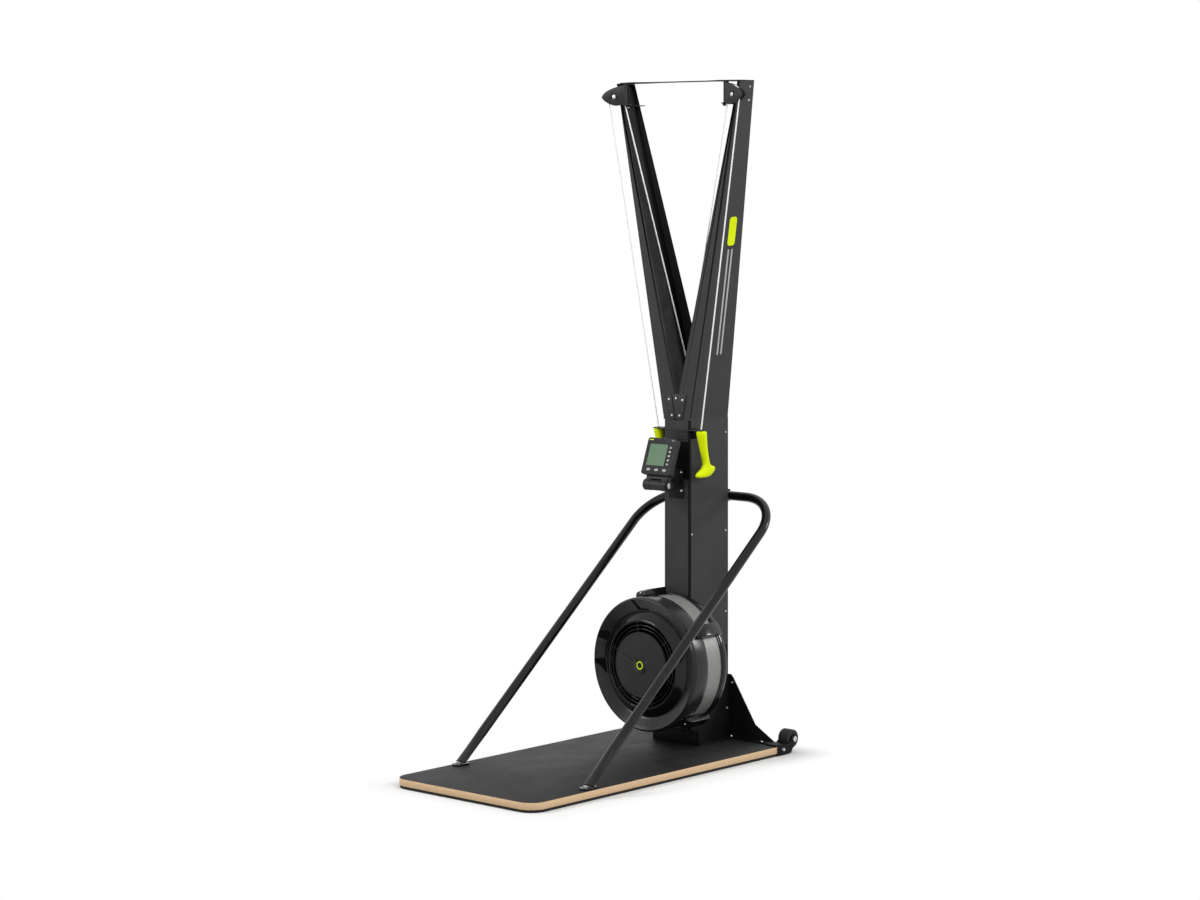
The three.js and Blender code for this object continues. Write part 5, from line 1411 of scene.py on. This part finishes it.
print("monitor leans back by", round(math.degrees(FACE_LEAN)), "degrees")

# %% [markdown]
# The case has a front and a rear shell with a fine parting line between them, and a deeper
# battery hump behind. The line is a slightly smaller slab set in the gap, so that it lies in
# a real groove and keeps its shadow from every side.

# %% Monitor shells
CASE_WIDE, CASE_HIGH, CASE_DEEP = 121, 121, 20
HALF = CASE_WIDE / 2
SEAM_Y = 9.5
front_shell = slab(-HALF, HALF, 0, CASE_HIGH, 0, SEAM_Y, 9)
soften(front_shell, 1.6, 3, angle=60)
seam = slab(-HALF + 0.7, HALF - 0.7, 0.7, CASE_HIGH - 0.7, SEAM_Y - 0.2, SEAM_Y + 1.0, 8.4)
rear_shell = slab(-HALF, HALF, 0, CASE_HIGH, SEAM_Y + 0.8, CASE_DEEP, 9)
soften(rear_shell, 1.6, 3, angle=60)
hump = slab(-46, 46, 2, 72, CASE_DEEP - 1, CASE_DEEP + 15, 9, draft=0.03)
soften(hump, 2.0, 3, angle=60)
case = merged(front_shell, seam, rear_shell, hump)
print("case", CASE_WIDE, "x", CASE_HIGH, "mm")

# %% [markdown]
# Two round cheeks under the case hold its pin. A neck stands over them and a bridge joins
# the neck to the hump, so nothing of the case hangs in the air.

# %% Monitor hinge
CHEEK_RADIUS = 18.2
for x0, x1 in ((-45, -22.3), (22.3, 45)):
    cheek = bmesh.new()
    bmesh.ops.create_cone(cheek, cap_ends=True, segments=40, radius1=CHEEK_RADIUS * MM,
                          radius2=CHEEK_RADIUS * MM, depth=(x1 - x0) * MM)
    turned(cheek, math.radians(90), "Y")
    moved(cheek, x=(x0 + x1) / 2, y=AXIS_BACK, z=-AXIS_DROP)
    soften(cheek, 1.2, 3, angle=60)
    case = merged(case, cheek)
neck = slab(-43, 43, -10.6, 4, AXIS_BACK - 12, AXIS_BACK + 9, 0)
for x0, x1 in ((-43, -22.5), (22.5, 43)):
    neck = merged(neck, slab(x0, x1, -AXIS_DROP, -8, AXIS_BACK - 12, AXIS_BACK + 9, 0))
bridge = slab(-43, 43, 0, 28, CASE_DEEP - 8, AXIS_BACK + 9, 0)
case = at_face(merged(case, neck, bridge))
bake(case, "monitor_shell", MONITOR_BODY, [MOULDED_ABS], ["monitor_case"], sharp=40)
print("monitor case made")

# %% [markdown]
# The face is one film over the front: a shallow raised plate in smoother plastic. The
# display lies on it in a dark frame, a little below the frame's edge, and a thin lime bar
# stands near the top. Insets make the frame from one slab, so no faces lie on each other.

# %% Monitor face
FILM = grained("face_film", "#151517", "#1a1a1c", 0.5, 1.0, 0.05, 0.15)
face_plate = slab(-HALF + 4, HALF - 4, 4, CASE_HIGH - 4, -0.5, 0.6, 6)
top = min(face_plate.faces, key=lambda f: f.calc_center_median().y)
bmesh.ops.inset_region(face_plate, faces=[top], thickness=0.4 * MM)
bake(at_face(face_plate), "monitor_face_film", MONITOR_BODY, [FILM], sharp=30)

LEFT, RIGHT, FOOT, TOP = -45.5, 30.5, 28, 101.5
frame_plate = slab(LEFT, RIGHT, FOOT, TOP, -1.2, 0.2, 1.5, 4)
front_face = min(frame_plate.faces, key=lambda f: f.calc_center_median().y)
bmesh.ops.inset_region(frame_plate, faces=[front_face], thickness=1.2 * MM)
moved(frame_plate, y=0.4, verts=front_face.verts)
bmesh.ops.inset_region(frame_plate, faces=[front_face], thickness=0.3 * MM)
front_face.material_index = 1
bake(at_face(frame_plate), "monitor_display", MONITOR_BODY,
     [POLISHED_ABS, SCREEN_GLASS], ["monitor_screen"], sharp=30)

bar = slab(-53, -36, 112, 114.6, -0.75, -0.3, 1, 3)
bake(at_face(bar), "monitor_plain_bar", MONITOR_BODY, [LIME_GRIP])
print("face made")

# %% [markdown]
# The keys are silicone, pale grey and slightly domed: five small ovals beside the display
# and three wider ones below it. Each stands for its CAD button and moves with it, so its
# stem stays inside the button's well and only its pad stands proud of the film. One more
# small oval at the top right is fixed.

# %% Keys
KEY_SILICONE = grained("key_silicone", "#9c9c98", "#b0b0ac", 0.55, 0.8, 0.1)


def key(x, z, half_wide, half_high, stem):
    """An oval key with a domed pad and a round stem below it."""
    bm = bmesh.new()
    pad = bmesh.ops.create_cone(bm, cap_ends=True, segments=28, radius1=1.0, radius2=0.86,
                                depth=0.9 * MM)["verts"]
    bmesh.ops.scale(bm, vec=(half_wide * MM, half_high * MM, 1), verts=pad)
    crown = max(bm.faces, key=lambda f: f.calc_center_median().z)
    bmesh.ops.inset_region(bm, faces=[crown], thickness=half_high * 0.35 * MM)
    moved(bm, z=0.25, verts=crown.verts)
    moved(bm, z=2.05, verts=pad)
    post = bmesh.ops.create_cone(bm, cap_ends=True, segments=20, radius1=stem * MM, radius2=stem * MM,
                                 depth=5.6 * MM)["verts"]
    moved(bm, z=-1.0, verts=post)
    turned(bm, math.radians(90), "X")
    moved(bm, x=x, z=z)
    return at_face(bm)


keys = [(f"side_button_{i + 1}", 42.5, 35.5 + 13.7 * i, 5.0, 3.6, 3.5) for i in range(5)]
keys += [(f"bottom_button_{i + 1}", -30 + 33 * i, 15.2, 8.4, 4.4, 3.7) for i in range(3)]
for name, x, z, half_wide, half_high, stem in keys:
    bake(key(x, z, half_wide, half_high, stem), name + "_key", nodes[name]["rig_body"],
         [KEY_SILICONE], [name], sharp=40)
power = key(46.5, 113.9, 4.4, 1.6, 1.2)
bake(power, "monitor_power_mark", MONITOR_BODY, [KEY_SILICONE])
print("keys:", len(keys))

# %% [markdown]
# A pin through the hinge carries a round cap at each end, with a pale oval plug in its
# middle, and a round knuckle fills the space between the cheeks. All are spun, because each
# is a turned part; the plug is then pressed oval.

# %% Hinge caps and knuckle
CAP_OUTLINE = [(0, -0.4), (17.4, -0.4), (18.6, 0.2), (18.6, 2.0), (17.6, 2.5), (13.5, 2.6),
               (12.6, 1.5), (0, 1.5)]
PLUG_OUTLINE = [(0, -0.2), (8.8, -0.2), (8.6, 1.0), (7.4, 1.5), (0, 1.7)]
KNUCKLE_OUTLINE = [(16, -22), (17.3, -21.6), (17.3, 21.6), (16, 22)]
CAP_X, PLUG_X = 45.4, 46.8


def on_pin(outline, x, steps, oval=(1, 1, 1)):
    """A turned part on the hinge pin, facing outwards from the middle."""
    part = wheel_on_x(outline, 0, 0, 0, steps)
    if x > 0:
        turned(part, math.pi, "Z")
    bmesh.ops.scale(part, vec=oval, verts=part.verts)
    moved(part, x=x, y=PIN_Y, z=PIN_Z)
    bmesh.ops.recalc_face_normals(part, faces=part.faces)
    return part


for side, sign in SIDES.items():
    cap = on_pin(CAP_OUTLINE, sign * CAP_X, 48)
    bake(cap, f"hinge_cap_{side}", "frame", [BLACK_COAT_AND_SHADE])
    plug = on_pin(PLUG_OUTLINE, sign * PLUG_X, 40, (1, 0.8, 1.1))
    bake(plug, f"hinge_plug_{side}", "frame", [KEY_SILICONE])
knuckle = on_pin(KNUCKLE_OUTLINE, 0, 48)
bake(knuckle, "hinge_knuckle", "frame", [MOULDED_ABS])
print("hinge caps made")

# %% [markdown]
# Behind the monitor a thin matt black plate lies on the front of the mast, from the hook
# plate down to the monitor's bracket. It is painted shadow: the monitor's shadow on the mast.
# It is little more than a millimetre thick and is not in the CAD model. The hook plate has a
# black tab on each side.

# %% Painted shadow behind the monitor, and hook tabs
TAB_X, TAB_HALF = 56.6, 1.2
# Painted shadow: a matt black plate where the monitor shades the mast.
painted_monitor_shadow = slab(-54, 54, 880, 1001, MAST_FRONT - 1.6, MAST_FRONT - 0.4, 3, 3)
bake(painted_monitor_shadow, "monitor_shadow_plate", "frame", [MATT_ABS_AND_SHADE], sharp=30)
for side, sign in SIDES.items():
    tab = slab(sign * TAB_X - TAB_HALF, sign * TAB_X + TAB_HALF, 1010, 1042, 368, 400, 0)
    soften(tab, 0.6, 2)
    bake(tab, f"hook_side_tab_{side}", "frame", [MATT_ABS_AND_SHADE])
print("backing and hook tabs made")

# %% [markdown]
# A line of shade runs down the gusset plate where the arms meet behind it. It is drawn as a
# sliver of matt black, painted shade, with a wider notch at its foot, half sunk in the plate.
# Thin black plates on the sides of the mast at its foot are painted shade as well.

# %% Painted shade: seam and mast foot
SEAM_PLACE = (-11.5, face_of("gusset_plate", 1, 0), 1113)
SEAM_LEAN = math.radians(9.7)
FOOT_SHADE_X, FOOT_SHADE_HALF = 55.2, 0.5
# Painted shade of the cleft where the arms meet: a matt black sliver.
cleft = slab(-1.2, 1.2, -39, 39, -0.5, 0.5, 0)
notch = slab(-2.2, 2.2, -45, -38, -0.5, 0.5, 0)
line = merged(cleft, notch)
lean_and_place = Matrix.Translation(Vector(SEAM_PLACE) * MM) @ Matrix.Rotation(-SEAM_LEAN, 4, "Y")
bmesh.ops.transform(line, matrix=lean_and_place, verts=line.verts)
bake(line, "gusset_seam_shade", "frame", [MATT_ABS_AND_SHADE])
for side, sign in SIDES.items():
    # Painted shade on the mast's lower sides: thin black plates.
    foot_shade = slab(sign * FOOT_SHADE_X - FOOT_SHADE_HALF, sign * FOOT_SHADE_X + FOOT_SHADE_HALF, 36, 330, 369, 556, 0)
    soften(foot_shade, 0.3, 1)
    bake(foot_shade, f"mast_foot_shade_{side}", "frame", [BLACK_COAT_AND_SHADE])
print("seam and foot covers made")

# %% [markdown]
# Small zinc-plated screws hold the plates together, and their pale heads are what catches
# the eye on so dark a machine. One low round head with a sunk centre serves them all. Two
# insets make it from a short cone, which is enough for a head a few pixels wide.

# %% Screw head
def screw(radius, place, axis):
    """A low round head with a sunk centre, standing on a face."""
    bm = bmesh.new()
    bmesh.ops.create_cone(bm, cap_ends=True, segments=24, radius1=radius * MM, radius2=radius * 0.82 * MM,
                          depth=radius * 0.5 * MM)
    moved(bm, z=radius * 0.25)
    crown = max(bm.faces, key=lambda f: f.calc_center_median().z)
    bmesh.ops.inset_region(bm, faces=[crown], thickness=radius * 0.3 * MM)
    moved(bm, z=radius * 0.12, verts=crown.verts)
    bmesh.ops.inset_region(bm, faces=[crown], thickness=radius * 0.2 * MM)
    moved(bm, z=-radius * 0.3, verts=crown.verts)
    turn = Vector((0, 0, 1)).rotation_difference(Vector(axis)).to_matrix().to_4x4()
    bmesh.ops.transform(bm, matrix=Matrix.Translation(Vector(place) * MM) @ turn, verts=bm.verts)
    return bm

print("screw head ready")

# %% [markdown]
# Each screw is listed with its radius, its place and the way it faces. Nearly all of the
# faces come from the CAD boxes, so a screw stays on its plate if the plate moves. The whole
# set is one mesh, because nobody will ever move one screw alone.

# %% Plate screws
OUT_RIGHT, OUT_LEFT, FORWARD = (1, 0, 0), (-1, 0, 0), (0, -1, 0)
UPWARD, DOWNWARD = (0, 0, 1), (0, 0, -1)
MAST_SIDE = face_of("mast_column", 0, 1)
PLATE_THICK, WING_THICK = 4.3, 4
FLANGE_TOP = BOARD_TOP + PLATE_THICK
screws = []
for sign, out_axis in ((1, OUT_RIGHT), (-1, OUT_LEFT)):
    for y, z in ((545, 1021), (545, 702), (545, 438), (375, 703), (381, 1020)):
        screws.append((3.6, (sign * MAST_SIDE, y, z), out_axis))
gusset_face = face_of("gusset_plate", 1, 0)
for x, z in ((-29, 1134.5), (0, 1138.5), (27.5, 1134), (-16.5, 1083.5), (14.5, 1084)):
    screws.append((4.0, (x, gusset_face, z), FORWARD))
bracket_face = face_of("mast_column", 1, 0) - PLATE_THICK
for x in (-24, 24):
    for z in (902, 843):
        screws.append((4.4, (x, bracket_face, z), FORWARD))
wing_face = face_of("rear_base_plate", 1, 1) - WING_THICK
for x, z in ((-73, 206), (73, 206)):
    screws.append((4.6, (x, wing_face, z), FORWARD))
shoe_side = MAST_SIDE + PLATE_THICK
screws += [(4.6, (shoe_side, 547, 124), OUT_RIGHT), (4.6, (-shoe_side, 547, 124), OUT_LEFT)]
for x, y in ((79, 546), (-79, 546), (214, 535), (-214, 535)):
    screws.append((4.6, (x, y, FLANGE_TOP), UPWARD))
for side, sign in SIDES.items():
    screws.append((4.2, (sign * PIVOT_X, PIVOT_Y, face_of(f"pivot_bolt_{side}", 2, 0)), DOWNWARD))
heads = merged(*[screw(*entry) for entry in screws])
bake(heads, "plate_screws", "frame", [ZINC_PLATE], sharp=40)
print("plate screws:", len(screws))

# %% [markdown]
# Bolts with hexagon heads go where the load is: through each roller bracket into the board's
# edge, and on the end of each roller's axle. The small one has a washer under it, and the
# large one bears on the bracket itself.

# %% Roller bolts
CHEEK_SIDE = 296.3
for side, sign in SIDES.items():
    out_axis = (sign, 0, 0)
    pair_of_bolts = merged(
        hex_bolt(9, 3.4, (sign * CHEEK_SIDE, 543, 19), out_axis, 0.8),
        hex_bolt(16.6, 4.0, (sign * CHEEK_SIDE, ROLLER_Y, ROLLER_Z), out_axis))
    bake(pair_of_bolts, f"roller_bolts_{side}", "frame", [ZINC_PLATE], sharp=30)
print("roller bolts made")

# %% [markdown]
# Each housing clip has one small screw on the slope at its front end. So the screw's axis
# leans forward as well as outwards, in the shares that follow.

# %% Clip screws
CLIP_SCREW_RADIUS, CLIP_SCREW_DEPTH = 225, 123.4
OUTWARD_SHARE, FORWARD_SHARE = 0.66, 0.75
clip_screws = []
for angle in CLIP_ANGLES:
    lean = math.radians(angle)
    out_x, out_z = math.cos(lean), math.sin(lean)
    place = (CLIP_SCREW_RADIUS * out_x, ahead(CLIP_SCREW_DEPTH), WHEEL_Z + CLIP_SCREW_RADIUS * out_z)
    clip_screws.append(screw(3.0, place, (OUTWARD_SHARE * out_x, -FORWARD_SHARE, OUTWARD_SHARE * out_z)))
bake(merged(*clip_screws), "clip_screws", "frame", [ZINC_PLATE], sharp=40)
print("clip screws:", len(clip_screws))

# %% [markdown]
# The arms' outer faces slope outwards, so what is fixed to them is drawn flat and carried by
# one matrix: turned by the arm's slope, then by the lean of the face's middle line. Working
# out each corner on the slope would hide the simple shapes.

# %% The arm's outer face
ARM_TOP_X, ARM_TOP_Z = 259, 2156.7
ARM_FOOT_X, ARM_FOOT_Z = 55, 1075
ARM_SLOPE = (ARM_TOP_X - ARM_FOOT_X) / (ARM_TOP_Z - ARM_FOOT_Z)
STRIPE_Z, STRIPE_Y = 1500, 451.5
STRIPE_LEAN = math.radians(3.4)


def arm_face(z):
    """The X of the right arm's outer face at a height."""
    return ARM_TOP_X - (ARM_TOP_Z - z) * ARM_SLOPE


on_arm = (Matrix.Translation(Vector((arm_face(STRIPE_Z), STRIPE_Y, STRIPE_Z)) * MM)
          @ Matrix.Rotation(math.atan(ARM_SLOPE), 4, "Y") @ Matrix.Rotation(STRIPE_LEAN, 4, "X"))
print("arm slope in degrees:", round(math.degrees(math.atan(ARM_SLOPE)), 1))

# %% [markdown]
# Each arm gets two screws at its head and a plain stripe set, a lime bar over two pale
# lines. It is printed on the real coat, and a picture could carry it, but three thin slabs
# with round ends stay sharp at any size. They stand a fifth of a millimetre proud.

# %% Arm screws and stripes
STRIPE_THICK = 0.4
STRIPES = [  # middle, width, foot, top, finish
    (0, 36, 134, 228, 0), (-9, 7, -226, 122, 1), (9, 7, -226, 122, 1),
]
HEAD_SCREWS = ((422, 2139), (425, 2096))
PALE_PRINT = grained("pale_grey_print", "#a9abaa", "#b8bab8", 0.5, 1.2, 0.1)
for side, sign in SIDES.items():
    bars = []
    for middle, wide, foot, top, finish in STRIPES:
        bar = bmesh.new()
        bmesh.ops.create_cube(bar, size=1.0)
        bmesh.ops.scale(bar, vec=Vector((STRIPE_THICK, wide, top - foot)) * MM, verts=bar.verts)
        moved(bar, y=middle, z=(foot + top) / 2)
        ends = [e for e in bar.edges if abs((e.verts[0].co - e.verts[1].co).normalized().x) > 0.9]
        bevelled(bar, ends, wide * 0.3, 6)
        for face in bar.faces:
            face.material_index = finish
        bars.append(bar)
    stripes = merged(*bars)
    bmesh.ops.transform(stripes, matrix=on_arm, verts=stripes.verts)
    normal = (math.cos(math.atan(ARM_SLOPE)), 0, -math.sin(math.atan(ARM_SLOPE)))
    heads = merged(*[screw(4.2, (arm_face(z), y, z), normal) for y, z in HEAD_SCREWS])
    if sign < 0:
        stripes, heads = mirrored(stripes), mirrored(heads)
    bake(stripes, f"arm_stripes_{side}", "frame", [LIME_GRIP, PALE_PRINT])
    bake(heads, f"arm_screws_{side}", "frame", [ZINC_PLATE], sharp=40)
print("arm stripes:", len(STRIPES), "bars a side")
